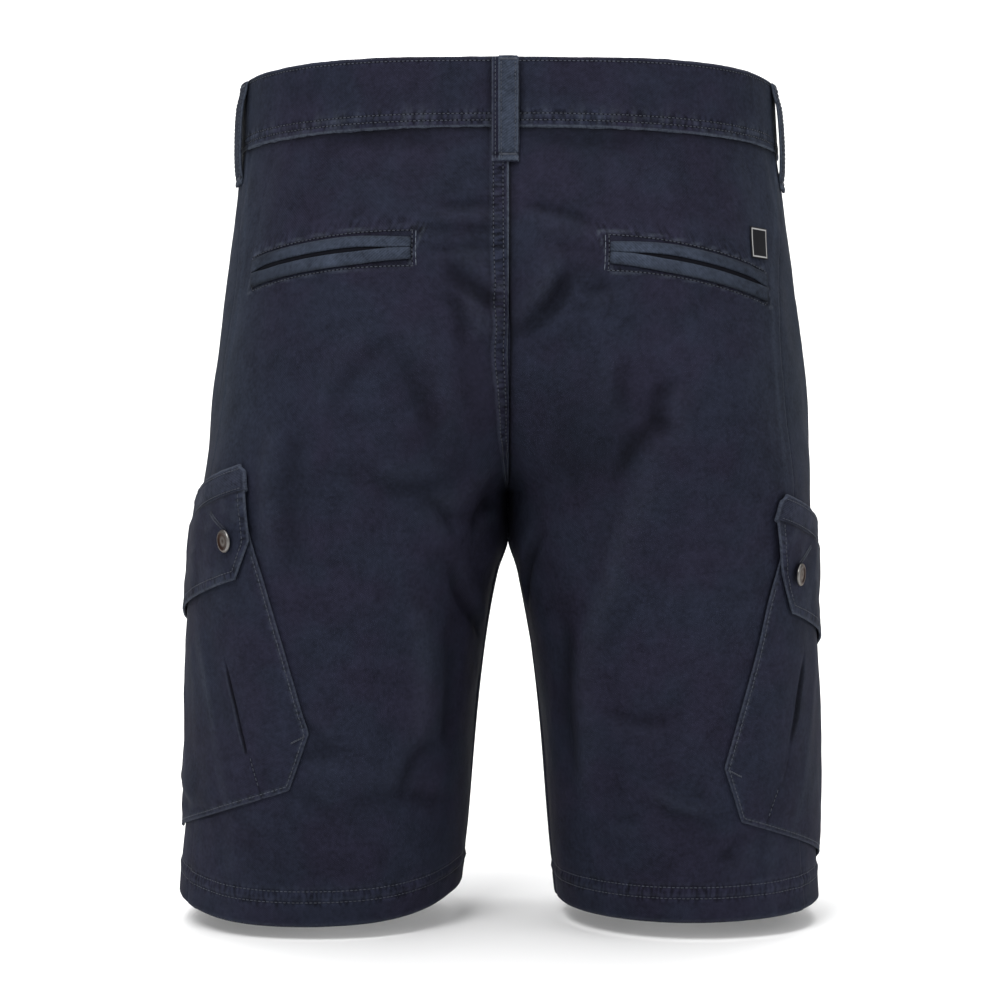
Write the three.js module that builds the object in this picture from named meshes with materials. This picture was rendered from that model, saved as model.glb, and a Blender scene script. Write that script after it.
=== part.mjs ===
// Cargo shorts as worn on a hollow figure, in millimetres.
// +Z is up, the wearer faces -Y, the wearer's left is +X.
// The origin is the centre of the waist, at half the waistband's height.
import * as THREE from "three";

// Driving sizes
const GAP = 0.3; // between two pieces sewn edge to edge
const SEAT = 0.45; // under a small piece that lies on a panel
const WIDE_SEAT = 0.95; // under a wide one, whose flat faces cut the curve of the leg
const CLOTH = 1.8; // wall of a panel
const BAND_HEIGHT = 40;
const BAND_WALL = 3; // two layers and their stiffening
const BAND_PROUD = 1; // how far the band stands out past the panels
const BAND_COLUMNS = 81;
const CROTCH = -222;
const HEM = -466;
const HEM_HEIGHT = 20;
const HEM_PROUD = 0.5; // how far the turned hem stands out
const HEM_WALL = 3; // the hem is turned up twice

// A half of the garment is a closed tube of superellipse sections. Above the crotch it is cut
// off at the middle plane, where the other half meets it. Sizes are from the middle plane:
// outer side, centre of the tube, half width inwards, half depths to the back and the front,
// and the superellipse's power. narrow is how much less the right half reaches out.
const SECTIONS = table(
  ["z", "outer", "narrow", "centre", "inner", "back", "front", "square"],
  [
    [-466, 197.0, 11.0, 113.0, 84.0, 88, 88, 2.1],
    [-430, 194.0, 10.5, 109.5, 84.5, 93, 92, 2.1],
    [-380, 190.5, 8.0, 105.8, 84.6, 99, 97, 2.15],
    [-320, 188.5, 6.5, 101.8, 86.6, 107, 103, 2.2],
    [-270, 186.5, 5.5, 96.6, 90.0, 115, 109, 2.3],
    [-250, 185.5, 5.0, 92.8, 92.4, 120, 111, 2.35],
    [-222, 181.2, 2.8, 91.5, 91.3, 127, 115, 2.4],
    [-190, 176.2, -1.2, 79.0, 103.0, 134, 118, 2.28],
    [-150, 172.5, -2.5, 59.0, 107.0, 138, 118, 2.22],
    [-100, 167.5, -2.0, 35.0, 108.0, 134, 115, 2.22],
    [-60, 162.3, -2.2, 15.0, 134.0, 124, 110, 2.25],
    [-20, 158.5, -1.0, 2.0, 155.0, 115, 105, 2.3],
    [20, 157.0, 0.0, 0.0, 157.0, 111, 102, 2.3],
  ],
);

// The waist sits lower at the front, and each hem rises towards its outer side and its back.
const WAIST = { lift: -5.2, tilt: 6.2, fadeFrom: -150, fadeTo: -20 };
const HEMS = table(
  ["side", "mid", "out", "ends", "back"],
  [
    [1, 7, -1, 4, -7.5],
    [-1, 4, 0.5, 0, -2],
  ],
);
const HEM_FADE = { from: -360, to: -466 };
const HEM_DEPTH = 86;

// The side seams, as the distance behind the outermost line of each side.
const SIDE_SEAMS = table(
  ["z", "left", "right"],
  [
    [-466, 46, 56],
    [-320, 52, 72],
    [-222, 60, 92],
    [-150, 66, 90],
    [-110, 66, 78],
    [-60, 50, 48],
    [-20, 36, 30],
    [20, 36, 30],
  ],
);

// The largest soft folds. w runs round a half from its outermost line, to the back when
// positive, and lean turns a fold from upright.
const FOLDS = table(
  ["side", "w", "z", "length", "width", "lean", "rise"],
  [
    [1, 262, -262, 90, 26, 38, -2.4],
    [1, 226, -300, 120, 34, 20, 1.6],
    [1, 196, -352, 110, 30, -12, -1.6],
    [1, 232, -160, 90, 30, 58, -1.6],
    [1, -246, -206, 110, 28, 52, -2.6],
    [1, -205, -250, 120, 34, 34, 2.0],
    [1, -190, -350, 120, 34, 10, -2.0],
    [-1, 258, -268, 100, 26, 34, -2.2],
    [-1, 220, -310, 120, 34, 16, 1.6],
    [-1, 190, -366, 100, 30, -14, -1.6],
    [-1, 236, -150, 90, 30, 60, -1.4],
    [-1, -240, -210, 110, 28, 48, -2.4],
    [-1, -200, -256, 120, 34, 30, 2.2],
    [-1, -186, -344, 120, 34, 8, -1.8],
  ],
);

// Rows and columns of the panels' walls
const PANEL = { rowsAbove: 14, rowsBelow: 11, crowding: 2.2, outerShare: 0.75 };
const PANEL_COLUMNS = { back: { outer: 9, inner: 8 }, front: { outer: 12, inner: 8 } };

// The waistband's ends lap at the front, the wearer's left over the right.
const LAP = { under: 20, over: 18, rampFrom: 48, rampTo: 21, rise: BAND_WALL + GAP };

// Belt loops: a strap sewn at the band's upper edge and below the band.
const LOOP = { width: 15, wall: 1.6, top: 19.5, rows: 12, columns: 4 };
const LOOP_RISE = table(
  ["z", "rise"],
  [
    [-42.5, 0.4],
    [-37, 0.6],
    [-30, 2.2],
    [-20, 3.6],
    [-6, 4.0],
    [6, 3.6],
    [14, 2.0],
    [20, 1.4],
  ],
);
const LOOPS = table(
  ["name", "side", "from"],
  [
    ["loop_back", 0, 0],
    ["loop_side_left", 1, 36],
    ["loop_side_right", -1, 30],
    ["loop_front_left", 1, -128],
    ["loop_front_right", -1, -128],
  ],
);
const LOOP_TAPE = { width: 10.8, wall: 0.8, top: 19, rows: 12, columns: 3 };
const BACK_LOOP_SHIFT = 1.8;

// Jetted back pockets: the slit runs in a soft curve from its inner to its outer end.
const JETS = table(
  ["name", "side", "inner", "outer", "zInner", "zMid", "zOuter"],
  [
    ["left", 1, 190, 87, -87.5, -89.5, -97],
    ["right", -1, 191, 93, -90, -94.5, -105.5],
  ],
);
const WELTS = table(
  ["name", "low", "high"],
  [
    ["upper", 0.9, 7.2],
    ["lower", -8.2, -0.9],
  ],
);
const WELT = { wall: 1.2, columns: 12, rows: 3, shear: 0.4 };
const LABEL = { side: -1, w: 87.5, z: -80, width: 15.5, height: 18, shear: 0.42, wall: 0.6 };

// Cargo pockets. w and z place the flap's upper corner at the back, turn slopes the flap,
// taper draws its sides in, and shift moves the pocket forwards under it.
const CARGO = table(
  ["name", "side", "w", "z", "turn", "taper", "shift"],
  [
    ["left", 1, 117, -205, 13, 5, 0],
    ["right", -1, 108, -222, 13, 17, -9],
  ],
);
const FLAP = { half: 95, body: 95, strip: 15.5, knee: 44, drop: 63, cut: 18, wall: 1.6 };
const FLAP_RISE = { strip: 3.6, top: 2.9, hang: 0.7 };
const POCKET = { top: 18, half: 90, corner: 160, cornerHalf: 85, drop: 187, dropHalf: 65 };
const POCKET_RISE = { edge: 2.3, crown: 1.3, pleat: 1.1 };
const POCKET_SKEW = 0.0005; // the lower edge slopes a little more than the flap
const PLEAT = { from: 46, width: 5 };
const POCKET_GRID = { columns: 19, rows: 12 };

// Buttons: a metal rim round a sunk centre, on a short neck.
const FLAP_BUTTON = { across: 13, high: 2.6, down: 41, inset: 16 };
const WAIST_BUTTON = { across: 17, high: 3.4, past: 3 };

// The fly's outer layer on the left front, straight at the middle and curved to a J.
const FLY = { past: 5, width: 34, straight: 112, drop: 152, foot: 3, wall: 1.4 };

const NAVY = new THREE.MeshStandardMaterial({ color: 0x2b2e3a, roughness: 0.9 });
const TAPE = new THREE.MeshStandardMaterial({ color: 0x3a3f50, roughness: 0.9 });
const METAL = new THREE.MeshStandardMaterial({ color: 0x8f8a84, roughness: 0.4, metalness: 1 });
const BLACK = new THREE.MeshStandardMaterial({ color: 0x101013, roughness: 0.7 });

function table(columns, rows) {
  return rows.map((row) =>
    Object.fromEntries(columns.map((column, i) => [column, row[i]])),
  );
}

const { acos, cos, exp, hypot, max, min, sign, sin } = Math;

function clamp(t) {
  return min(max(t, 0), 1);
}

function smooth(t) {
  const s = clamp(t);
  return s * s * (3 - 2 * s);
}

function lerp(a, b, t) {
  return a + (b - a) * t;
}

// A smooth curve through a table's rows, with no overshoot (monotone cubic).
function curve(rows, across, key) {
  const x = rows.map((row) => row[across]);
  const y = rows.map((row) => row[key]);
  const last = x.length - 1;
  const step = x.slice(1).map((v, i) => v - x[i]);
  const rise = step.map((h, i) => (y[i + 1] - y[i]) / h);
  const slope = y.map((_, i) => {
    if (i === 0) return rise[0];
    if (i === last) return rise[last - 1];
    if (rise[i - 1] * rise[i] <= 0) return 0;
    const before = 2 * step[i] + step[i - 1];
    const after = step[i] + 2 * step[i - 1];
    return (before + after) / (before / rise[i - 1] + after / rise[i]);
  });
  return (q) => {
    let i = 0;
    while (i < last - 1 && q > x[i + 1]) i += 1;
    const t = (q - x[i]) / step[i];
    const a = y[i] * (1 + 2 * t) + slope[i] * step[i] * t;
    const b = y[i + 1] * (3 - 2 * t) + slope[i + 1] * step[i] * (t - 1);
    return a * (1 - t) ** 2 + b * t * t;
  };
}

const sectionCurves = Object.fromEntries(
  ["outer", "narrow", "centre", "inner", "back", "front", "square"].map((key) => [
    key,
    curve(SECTIONS, "z", key),
  ]),
);
const seamCurves = {
  1: curve(SIDE_SEAMS, "z", "left"),
  "-1": curve(SIDE_SEAMS, "z", "right"),
};
const loopRise = curve(LOOP_RISE, "z", "rise");

function sectionAt(side, z) {
  const s = Object.fromEntries(
    Object.entries(sectionCurves).map(([key, at]) => [key, at(z)]),
  );
  if (side < 0) {
    s.outer -= s.narrow;
    s.centre -= s.narrow / 2;
    s.inner -= s.narrow / 2;
  }
  return s;
}

// One quarter of a section, from the outermost line to the middle plane or the inseam, as
// points with the length run so far and the outward normal.
function quarter(s, depth, way) {
  const steps = 160;
  const cut = clamp((s.centre - GAP / 2) / s.inner);
  const start = acos(cut ** (s.square / 2));
  const power = 2 / s.square;
  const points = [];
  let run = 0;
  for (let i = 0; i <= steps; i += 1) {
    const t = start + (Math.PI - start) * (0.5 + 0.5 * cos((Math.PI * i) / steps));
    const c = cos(t);
    const half = c > 0 ? s.inner : s.outer - s.centre;
    const across = -sign(c) * Math.abs(c) ** power;
    const deep = Math.abs(sin(t)) ** power;
    const x = s.centre + half * across;
    const y = way * depth * deep;
    const nx = (sign(across) * Math.abs(across) ** (s.square - 1)) / half;
    const ny = (way * deep ** (s.square - 1)) / depth;
    const n = hypot(nx, ny);
    if (i > 0) run += hypot(x - points[i - 1].x, y - points[i - 1].y);
    points.push({ run, x, y, nx: nx / n, ny: ny / n, out: across });
  }
  return points;
}

const rows = new Map();

function rowAt(side, z) {
  const key = `${side} ${z.toFixed(3)}`;
  if (!rows.has(key)) {
    const s = sectionAt(side, z);
    const back = quarter(s, s.back, 1);
    const front = quarter(s, s.front, -1);
    const closed = s.centre - s.inner > GAP / 2;
    rows.set(key, { back, front, edge: closed ? GAP / 2 : 0 });
  }
  return rows.get(key);
}

function backLength(side, z) {
  return rowAt(side, z).back.at(-1).run;
}

function frontLength(side, z) {
  return rowAt(side, z).front.at(-1).run;
}

function foldRise(side, w, z) {
  let rise = 0;
  for (const fold of FOLDS) {
    if (fold.side !== side) continue;
    const lean = THREE.MathUtils.degToRad(fold.lean);
    const along = ((w - fold.w) * sin(lean) + (z - fold.z) * cos(lean)) / (fold.length / 2);
    const across = ((w - fold.w) * cos(lean) - (z - fold.z) * sin(lean)) / (fold.width / 2);
    rise += fold.rise * exp(-across * across - along ** 4);
  }
  return rise;
}

// The point of the garment's outside at w round a half and height z, moved out by lift.
function at(side, w, z, lift = 0) {
  const row = rowAt(side, z);
  const points = w < 0 ? row.front : row.back;
  const run = min(Math.abs(w), points.at(-1).run);
  let low = 0;
  let high = points.length - 1;
  while (high - low > 1) {
    const middle = (low + high) >> 1;
    if (points[middle].run > run) high = middle;
    else low = middle;
  }
  const a = points[low];
  const b = points[high];
  const t = (run - a.run) / max(b.run - a.run, 1e-9);
  const x = lerp(a.x, b.x, t);
  const y = lerp(a.y, b.y, t);
  const out = lerp(a.out, b.out, t);
  const move = lift + foldRise(side, w, z);
  const hem = HEMS.find((h) => h.side === side);
  const fade = smooth((z - WAIST.fadeFrom) / (WAIST.fadeTo - WAIST.fadeFrom));
  const hemFade = smooth((HEM_FADE.from - z) / (HEM_FADE.from - HEM_FADE.to));
  const raise =
    fade * (WAIST.lift + (WAIST.tilt * y) / 100) +
    hemFade * (hem.mid + hem.out * out + hem.ends * out ** 4 + (hem.back * y) / HEM_DEPTH);
  return new THREE.Vector3(
    side * (x + move * lerp(a.nx, b.nx, t)),
    y + move * lerp(a.ny, b.ny, t),
    z + raise,
  );
}

// The same outside by the length s from the middle of the back, to the left when positive.
// Past the middle of the front it goes on round the other half.
function round(s, z, lift) {
  const side = s < 0 ? -1 : 1;
  const whole = backLength(side, z) + frontLength(side, z);
  const past = Math.abs(s) - whole;
  if (past > 0) return at(-side, past - frontLength(-side, z), z, lift);
  return at(side, backLength(side, z) - Math.abs(s), z, lift);
}

// A closed wall between two sheets of points, each a function of u and v from 0 to 1.
function wall(columns, rowCount, outside, inside) {
  const positions = [];
  for (const sheet of [outside, inside]) {
    for (let j = 0; j < rowCount; j += 1) {
      for (let i = 0; i < columns; i += 1) {
        positions.push(...sheet(i / (columns - 1), j / (rowCount - 1)).toArray());
      }
    }
  }
  const sheetSize = columns * rowCount;
  const faces = [];
  const quad = (a, b, c, d) => faces.push(a, b, c, a, c, d);
  for (let j = 0; j < rowCount - 1; j += 1) {
    for (let i = 0; i < columns - 1; i += 1) {
      const a = j * columns + i;
      quad(a, a + 1, a + 1 + columns, a + columns);
      quad(a + sheetSize, a + columns + sheetSize, a + 1 + columns + sheetSize, a + 1 + sheetSize);
    }
  }
  for (let i = 0; i < columns - 1; i += 1) {
    const low = (rowCount - 1) * columns + i;
    quad(i + 1, i, i + sheetSize, i + 1 + sheetSize);
    quad(low, low + 1, low + 1 + sheetSize, low + sheetSize);
  }
  for (let j = 0; j < rowCount - 1; j += 1) {
    const left = j * columns;
    const right = left + columns - 1;
    quad(left, left + columns, left + columns + sheetSize, left + sheetSize);
    quad(right + columns, right, right + sheetSize, right + columns + sheetSize);
  }
  const geometry = new THREE.BufferGeometry();
  geometry.setAttribute("position", new THREE.Float32BufferAttribute(positions, 3));
  geometry.setIndex(faces);
  if (volume(geometry) < 0) geometry.setIndex(faces.reverse());
  geometry.computeVertexNormals();
  return geometry;
}

function volume(geometry) {
  const corner = [new THREE.Vector3(), new THREE.Vector3(), new THREE.Vector3()];
  const { array } = geometry.index;
  let sum = 0;
  for (let i = 0; i < array.length; i += 3) {
    corner.forEach((c, k) => c.fromBufferAttribute(geometry.attributes.position, array[i + k]));
    sum += corner[0].dot(corner[1].cross(corner[2])) / 6;
  }
  return sum;
}

const shorts = new THREE.Group();

function add(name, geometry, material) {
  const mesh = new THREE.Mesh(geometry, material);
  mesh.name = name;
  shorts.add(mesh);
  return mesh;
}

// Heights of a panel's rows: crowded towards the crotch, and one row on each side of the
// hem's step.
function panelHeights() {
  const top = -BAND_HEIGHT / 2 - GAP;
  const heights = [];
  for (let i = 0; i < PANEL.rowsAbove; i += 1) {
    const left = 1 - i / PANEL.rowsAbove;
    heights.push(CROTCH + (top - CROTCH) * left ** PANEL.crowding);
  }
  const hemTop = HEM + HEM_HEIGHT;
  for (let i = 0; i < PANEL.rowsBelow; i += 1) {
    const t = i / (PANEL.rowsBelow - 1);
    heights.push(lerp(CROTCH, hemTop + 1, t ** 1.3));
  }
  heights.push(hemTop - 1, HEM);
  return heights;
}

const heights = panelHeights();

function heightAt(v) {
  return heights[Math.round(v * (heights.length - 1))];
}

// Where a panel's columns lie at height z: the outer ones share the stretch next to the side
// seam, which changes little from row to row, and the inner ones share what is left.
function panelPlace(side, way, z, u) {
  const { outer, inner } = way > 0 ? PANEL_COLUMNS.back : PANEL_COLUMNS.front;
  const length = way > 0 ? backLength(side, z) : frontLength(side, z);
  const seam = seamCurves[side](z) + (way * GAP) / 2;
  const end = way * (length - rowAt(side, z).edge);
  const level = max(z, CROTCH);
  const whole = way > 0 ? backLength(side, level + 10) : frontLength(side, level + 10);
  const knee = way * min(PANEL.outerShare * whole, 0.7 * length);
  const i = u * (outer + inner);
  return i <= outer ? lerp(seam, knee, i / outer) : lerp(knee, end, (i - outer) / inner);
}

function addPanel(name, side, way) {
  const { outer, inner } = way > 0 ? PANEL_COLUMNS.back : PANEL_COLUMNS.front;
  const sheet = (liftAt) => (u, v) => {
    const z = heightAt(v);
    return at(side, panelPlace(side, way, z, u), z, liftAt(z));
  };
  const inHem = (z) => z < HEM + HEM_HEIGHT;
  const outside = sheet((z) => (inHem(z) ? HEM_PROUD : 0));
  const inside = sheet((z) => (inHem(z) ? HEM_PROUD - HEM_WALL : -CLOTH));
  add(name, wall(outer + inner + 1, heights.length, outside, inside), NAVY);
}

function addWaistband() {
  const half = BAND_HEIGHT / 2;
  const sheet = (depth) => (u, v) => {
    const z = lerp(half, -half, v);
    const left = backLength(1, z) + frontLength(1, z);
    const right = backLength(-1, z) + frontLength(-1, z);
    const s = lerp(-right - LAP.under, left + LAP.over, u);
    const ramp = smooth((s - left + LAP.rampFrom) / (LAP.rampFrom - LAP.rampTo));
    return round(s, z, BAND_PROUD - depth + LAP.rise * ramp);
  };
  add("waistband", wall(BAND_COLUMNS, 3, sheet(0), sheet(BAND_WALL)), NAVY);
}

function loopCentre(loop, z) {
  if (loop.side === 0) return BACK_LOOP_SHIFT;
  return loop.side * (backLength(loop.side, z) - loop.from);
}

function addStrap(name, loop, size, bottom, lift, material) {
  const sheet = (depth) => (u, v) => {
    const z = lerp(size.top, bottom, v);
    const s = loopCentre(loop, z) + size.width * (u - 0.5);
    return round(s, z, loopRise(z) + lift + depth);
  };
  add(name, wall(size.columns, size.rows, sheet(size.wall), sheet(0)), material);
}

function addLoops() {
  const bottom = LOOP_RISE[0].z;
  for (const loop of LOOPS) {
    addStrap(loop.name, loop, LOOP, bottom, 0, NAVY);
  }
  const tapeLift = LOOP.wall + GAP;
  addStrap("loop_back_tape", LOOPS[0], LOOP_TAPE, bottom + 0.5, tapeLift, TAPE);
}

// The slit's height, as the parabola through its two ends and its middle.
function slitHeight(jet, t) {
  const bend = 2 * (jet.zInner + jet.zOuter - 2 * jet.zMid);
  return lerp(jet.zInner, jet.zOuter, t) - bend * t * (1 - t);
}

function addWelts() {
  for (const jet of JETS) {
    for (const welt of WELTS) {
      const sheet = (outer) => (u, v) => {
        const up = lerp(welt.high, welt.low, v);
        const w = lerp(jet.inner, jet.outer, u) - WELT.shear * up;
        const crown = outer ? WELT.wall * (1 + 0.25 * sin(Math.PI * v)) : 0;
        return at(jet.side, w, slitHeight(jet, u) + up, SEAT + crown);
      };
      const geometry = wall(WELT.columns, WELT.rows, sheet(true), sheet(false));
      add(`welt_${welt.name}_${jet.name}`, geometry, TAPE);
    }
  }
}

function addLabel() {
  const sheet = (lift) => (u, v) => {
    const up = LABEL.height * (0.5 - v);
    const w = LABEL.w + LABEL.width * (u - 0.5) - LABEL.shear * up;
    return at(LABEL.side, w, LABEL.z + up, SEAT + lift);
  };
  add("label", wall(4, 4, sheet(LABEL.wall), sheet(0)), BLACK);
}

// Turns a pocket's own place, a towards the back from its middle and b down from the flap's
// upper edge, into w and z.
function cargoPlace(cargo, a, b) {
  const turn = THREE.MathUtils.degToRad(cargo.turn);
  const along = a - FLAP.half;
  const down = b * (1 - POCKET_SKEW * a);
  return {
    w: cargo.w + along * cos(turn) + down * sin(turn),
    z: cargo.z + along * sin(turn) - down * cos(turn),
  };
}

function onCargo(cargo, a, b, lift) {
  const { w, z } = cargoPlace(cargo, a, b);
  return at(cargo.side, w, z, lift);
}

// Half the flap's width at b: straight sides drawn in to the knee, then cut corners.
function flapHalf(cargo, b) {
  const knee = FLAP.body - cargo.taper;
  if (b < FLAP.knee) {
    return lerp(FLAP.body, knee, clamp((b - FLAP.strip) / (FLAP.knee - FLAP.strip)));
  }
  return lerp(knee, knee - FLAP.cut, (b - FLAP.knee) / (FLAP.drop - FLAP.knee));
}

function flapRise(b) {
  return FLAP_RISE.top + FLAP_RISE.hang * smooth((b - FLAP.strip) / (FLAP.drop - FLAP.strip));
}

function pocketHalf(b) {
  if (b < POCKET.corner) {
    return lerp(POCKET.half, POCKET.cornerHalf, (b - POCKET.top) / (POCKET.corner - POCKET.top));
  }
  const t = (b - POCKET.corner) / (POCKET.drop - POCKET.corner);
  return lerp(POCKET.cornerHalf, POCKET.dropHalf, t);
}

// How far the pocket's outside stands off the panel: flat under the flap and at its sewn
// edge, crowned between, with a pleat sunk in on each side.
function pocketRise(a, b) {
  const inward = (pocketHalf(b) - Math.abs(a)) / 26;
  const below = (b - FLAP.drop + 6) / 34;
  const above = (POCKET.drop - b) / 24;
  const crown = smooth(inward) * smooth(below) * smooth(above);
  const off = (Math.abs(a) - PLEAT.from) / PLEAT.width;
  const pleat = exp(-off * off) * smooth(below);
  return POCKET_RISE.edge + POCKET_RISE.crown * crown - POCKET_RISE.pleat * pleat;
}

// Columns of the pocket's wall, as shares of its half width, crowded at the two pleats.
function pocketColumn(u) {
  const p = 2 * u - 1;
  const pleat = PLEAT.from / POCKET.cornerHalf;
  const near = Math.abs(p) - 0.5;
  const power = 0.35 + 0.65 * Math.abs(near * 2) ** 1.5;
  const stretched = near < 0 ? pleat + near * 2 * pleat * power : pleat + near * 2 * (1 - pleat) * power;
  return sign(p) * stretched;
}

function addCargoPocket(cargo) {
  const sheet = (outer) => (u, v) => {
    const b = lerp(POCKET.top, POCKET.drop, v);
    const a = pocketColumn(u) * pocketHalf(b);
    return onCargo(cargo, a + cargo.shift, b, outer ? pocketRise(a, b) : WIDE_SEAT);
  };
  const { columns, rows: rowCount } = POCKET_GRID;
  add(`cargo_pocket_${cargo.name}`, wall(columns, rowCount, sheet(true), sheet(false)), NAVY);
}

function addFlap(cargo) {
  const top = FLAP.strip + GAP;
  const body = (depth) => (u, v) => {
    const b = lerp(top, FLAP.drop, v);
    const a = (2 * u - 1) * flapHalf(cargo, b);
    return onCargo(cargo, a, b, flapRise(b) + depth);
  };
  add(`flap_${cargo.name}`, wall(17, 6, body(FLAP.wall), body(0)), NAVY);
  const strip = (lift) => (u, v) => {
    const b = FLAP.strip * v;
    const end = FLAP.half - 4 * (1 - smooth(b / 5));
    return onCargo(cargo, (2 * u - 1) * end, b, lift);
  };
  add(`flap_strip_${cargo.name}`, wall(17, 4, strip(FLAP_RISE.strip), strip(WIDE_SEAT)), TAPE);
}

// A lathed button standing along +Y: neck, round rim and sunk centre.
function buttonGeometry(across, high) {
  const r = across / 2;
  const neck = 0.45 * r;
  const rim = 0.6 * high;
  const profile = [
    [0, 0],
    [neck, 0],
    [neck, 0.35 * high],
    [r - 0.1 * r, 0.35 * high],
    [r, 0.35 * high + 0.3 * rim],
    [r - 0.12 * r, high],
    [r - 0.3 * r, high],
    [r - 0.42 * r, high - 0.3 * rim],
    [0, high - 0.2 * rim],
  ].map(([x, y]) => new THREE.Vector2(x, y));
  return new THREE.LatheGeometry(profile, 18);
}

function addButton(name, size, place) {
  const mesh = add(name, buttonGeometry(size.across, size.high), METAL);
  const centre = place(0, 0);
  const sideways = place(2, 0).sub(place(-2, 0));
  const upwards = place(0, 2).sub(place(0, -2));
  const normal = sideways.cross(upwards).normalize();
  if (normal.dot(centre.clone().setZ(0)) < 0) normal.negate();
  mesh.position.copy(centre);
  mesh.quaternion.setFromUnitVectors(new THREE.Vector3(0, 1, 0), normal);
}

function addFlapButtons(cargo) {
  for (const [place, way] of [["back", 1], ["front", -1]]) {
    const middle = way * (flapHalf(cargo, FLAP_BUTTON.down) - FLAP_BUTTON.inset);
    const lift = flapRise(FLAP_BUTTON.down) + FLAP.wall + SEAT;
    const onFlap = (x, y) => onCargo(cargo, middle + x, FLAP_BUTTON.down - y, lift);
    addButton(`button_${cargo.name}_${place}`, FLAP_BUTTON, onFlap);
  }
}

function addWaistButton() {
  const z = 0;
  const middle = backLength(1, z) + frontLength(1, z) + WAIST_BUTTON.past;
  const lift = BAND_PROUD + LAP.rise + GAP;
  addButton("button_waist", WAIST_BUTTON, (x, y) => round(middle + x, z + y, lift));
}

function addFly() {
  const top = -BAND_HEIGHT / 2 - GAP;
  const sheet = (lift) => (u, v) => {
    const b = FLY.drop * v;
    const turn = clamp((b - FLY.straight) / (FLY.drop - FLY.straight));
    const reach = FLY.foot + (FLY.width - FLY.foot) * Math.sqrt(max(1 - turn * turn, 0));
    const z = top - b;
    const whole = backLength(1, z) + frontLength(1, z);
    return round(whole + FLY.past - (FLY.past + reach) * u, z, WIDE_SEAT + lift);
  };
  add("fly", wall(6, 16, sheet(FLY.wall), sheet(0)), NAVY);
}

addPanel("back_left", 1, 1);
addPanel("back_right", -1, 1);
addPanel("front_left", 1, -1);
addPanel("front_right", -1, -1);
addWaistband();
addLoops();
addWelts();
addLabel();
addFly();
for (const cargo of CARGO) {
  addCargoPocket(cargo);
  addFlap(cargo);
  addFlapButtons(cargo);
}
addWaistButton();

export default shorts;
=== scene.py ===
"""Navy cotton cargo shorts, worn and hollow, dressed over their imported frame.

Lengths are in millimetres until a mesh is made. w runs round a half of the garment from its
outermost line, to the back when positive. z is the height before the waist's tilt and the
hems' lift come in, and lift stands off the cloth's outside.
"""

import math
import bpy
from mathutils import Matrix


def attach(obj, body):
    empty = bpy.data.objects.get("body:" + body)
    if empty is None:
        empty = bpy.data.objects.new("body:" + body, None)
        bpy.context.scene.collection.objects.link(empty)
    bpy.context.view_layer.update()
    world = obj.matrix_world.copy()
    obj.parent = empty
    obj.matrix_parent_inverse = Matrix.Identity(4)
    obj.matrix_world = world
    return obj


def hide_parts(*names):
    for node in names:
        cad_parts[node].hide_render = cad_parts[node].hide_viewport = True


bl_info = {
    "name": "Cargo Shorts",
    "version": (1, 0, 0),
    "blender": (4, 5, 0),
    "location": "3D View > Sidebar > Shorts",
    "description": "Sews a pair of worn cargo shorts over its packed frame",
    "category": "Add Mesh",
}

import bpy
import numpy as np
from bpy.props import FloatProperty, FloatVectorProperty, PointerProperty

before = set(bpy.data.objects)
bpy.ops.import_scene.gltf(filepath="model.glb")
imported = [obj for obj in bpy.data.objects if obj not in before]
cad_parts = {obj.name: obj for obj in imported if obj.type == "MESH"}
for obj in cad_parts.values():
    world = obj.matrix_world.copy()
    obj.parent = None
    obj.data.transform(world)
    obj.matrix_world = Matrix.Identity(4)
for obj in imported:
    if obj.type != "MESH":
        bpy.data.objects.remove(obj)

MM = 0.001
GAP = 0.3
SEAT = 0.45
WIDE_SEAT = 0.95
CLOTH = 1.8
BAND_HEIGHT = 40.0
BAND_WALL = 3.0
BAND_PROUD = 1.0
CROTCH = -222.0
HEM = -466.0
HEM_WALL = 3.0
BAND_DIP = 2.1
PANEL_TOP = -BAND_HEIGHT / 2 - GAP

# z, outer, narrow, centre, inner, back, front, square
SECTIONS = np.array(
    [
        [-466, 197.0, 11.0, 113.0, 84.0, 88, 88, 2.1],
        [-430, 194.0, 10.5, 109.5, 84.5, 93, 92, 2.1],
        [-380, 190.5, 8.0, 105.8, 84.6, 99, 97, 2.15],
        [-320, 188.5, 6.5, 101.8, 86.6, 107, 103, 2.2],
        [-270, 186.5, 5.5, 96.6, 90.0, 115, 109, 2.3],
        [-250, 185.5, 5.0, 92.8, 92.4, 120, 111, 2.35],
        [-222, 181.2, 2.8, 91.5, 91.3, 127, 115, 2.4],
        [-190, 176.2, -1.2, 79.0, 103.0, 134, 118, 2.28],
        [-150, 172.5, -2.5, 59.0, 107.0, 138, 118, 2.22],
        [-100, 167.5, -2.0, 35.0, 108.0, 134, 115, 2.22],
        [-60, 162.3, -2.2, 15.0, 134.0, 124, 110, 2.25],
        [-20, 158.5, -1.0, 2.0, 155.0, 115, 105, 2.3],
        [20, 157.0, 0.0, 0.0, 157.0, 111, 102, 2.3],
    ]
)
WAIST_LIFT = -5.2
WAIST_TILT = 6.2
WAIST_FADE = (-150.0, -20.0)
# mid, out, ends, back for each side's hem
HEMS = {1: (7.0, -1.0, 4.0, -7.5), -1: (4.0, 0.5, 0.0, -2.0)}
HEM_FADE = (-360.0, -466.0)
HEM_DEPTH = 86.0
# z, left, right: how far the side seams lie behind the outermost line
SIDE_SEAMS = np.array(
    [
        [-466, 46, 56],
        [-320, 52, 72],
        [-222, 60, 92],
        [-150, 66, 90],
        [-110, 66, 78],
        [-60, 50, 48],
        [-20, 36, 30],
        [20, 36, 30],
    ],
    float,
)
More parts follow.
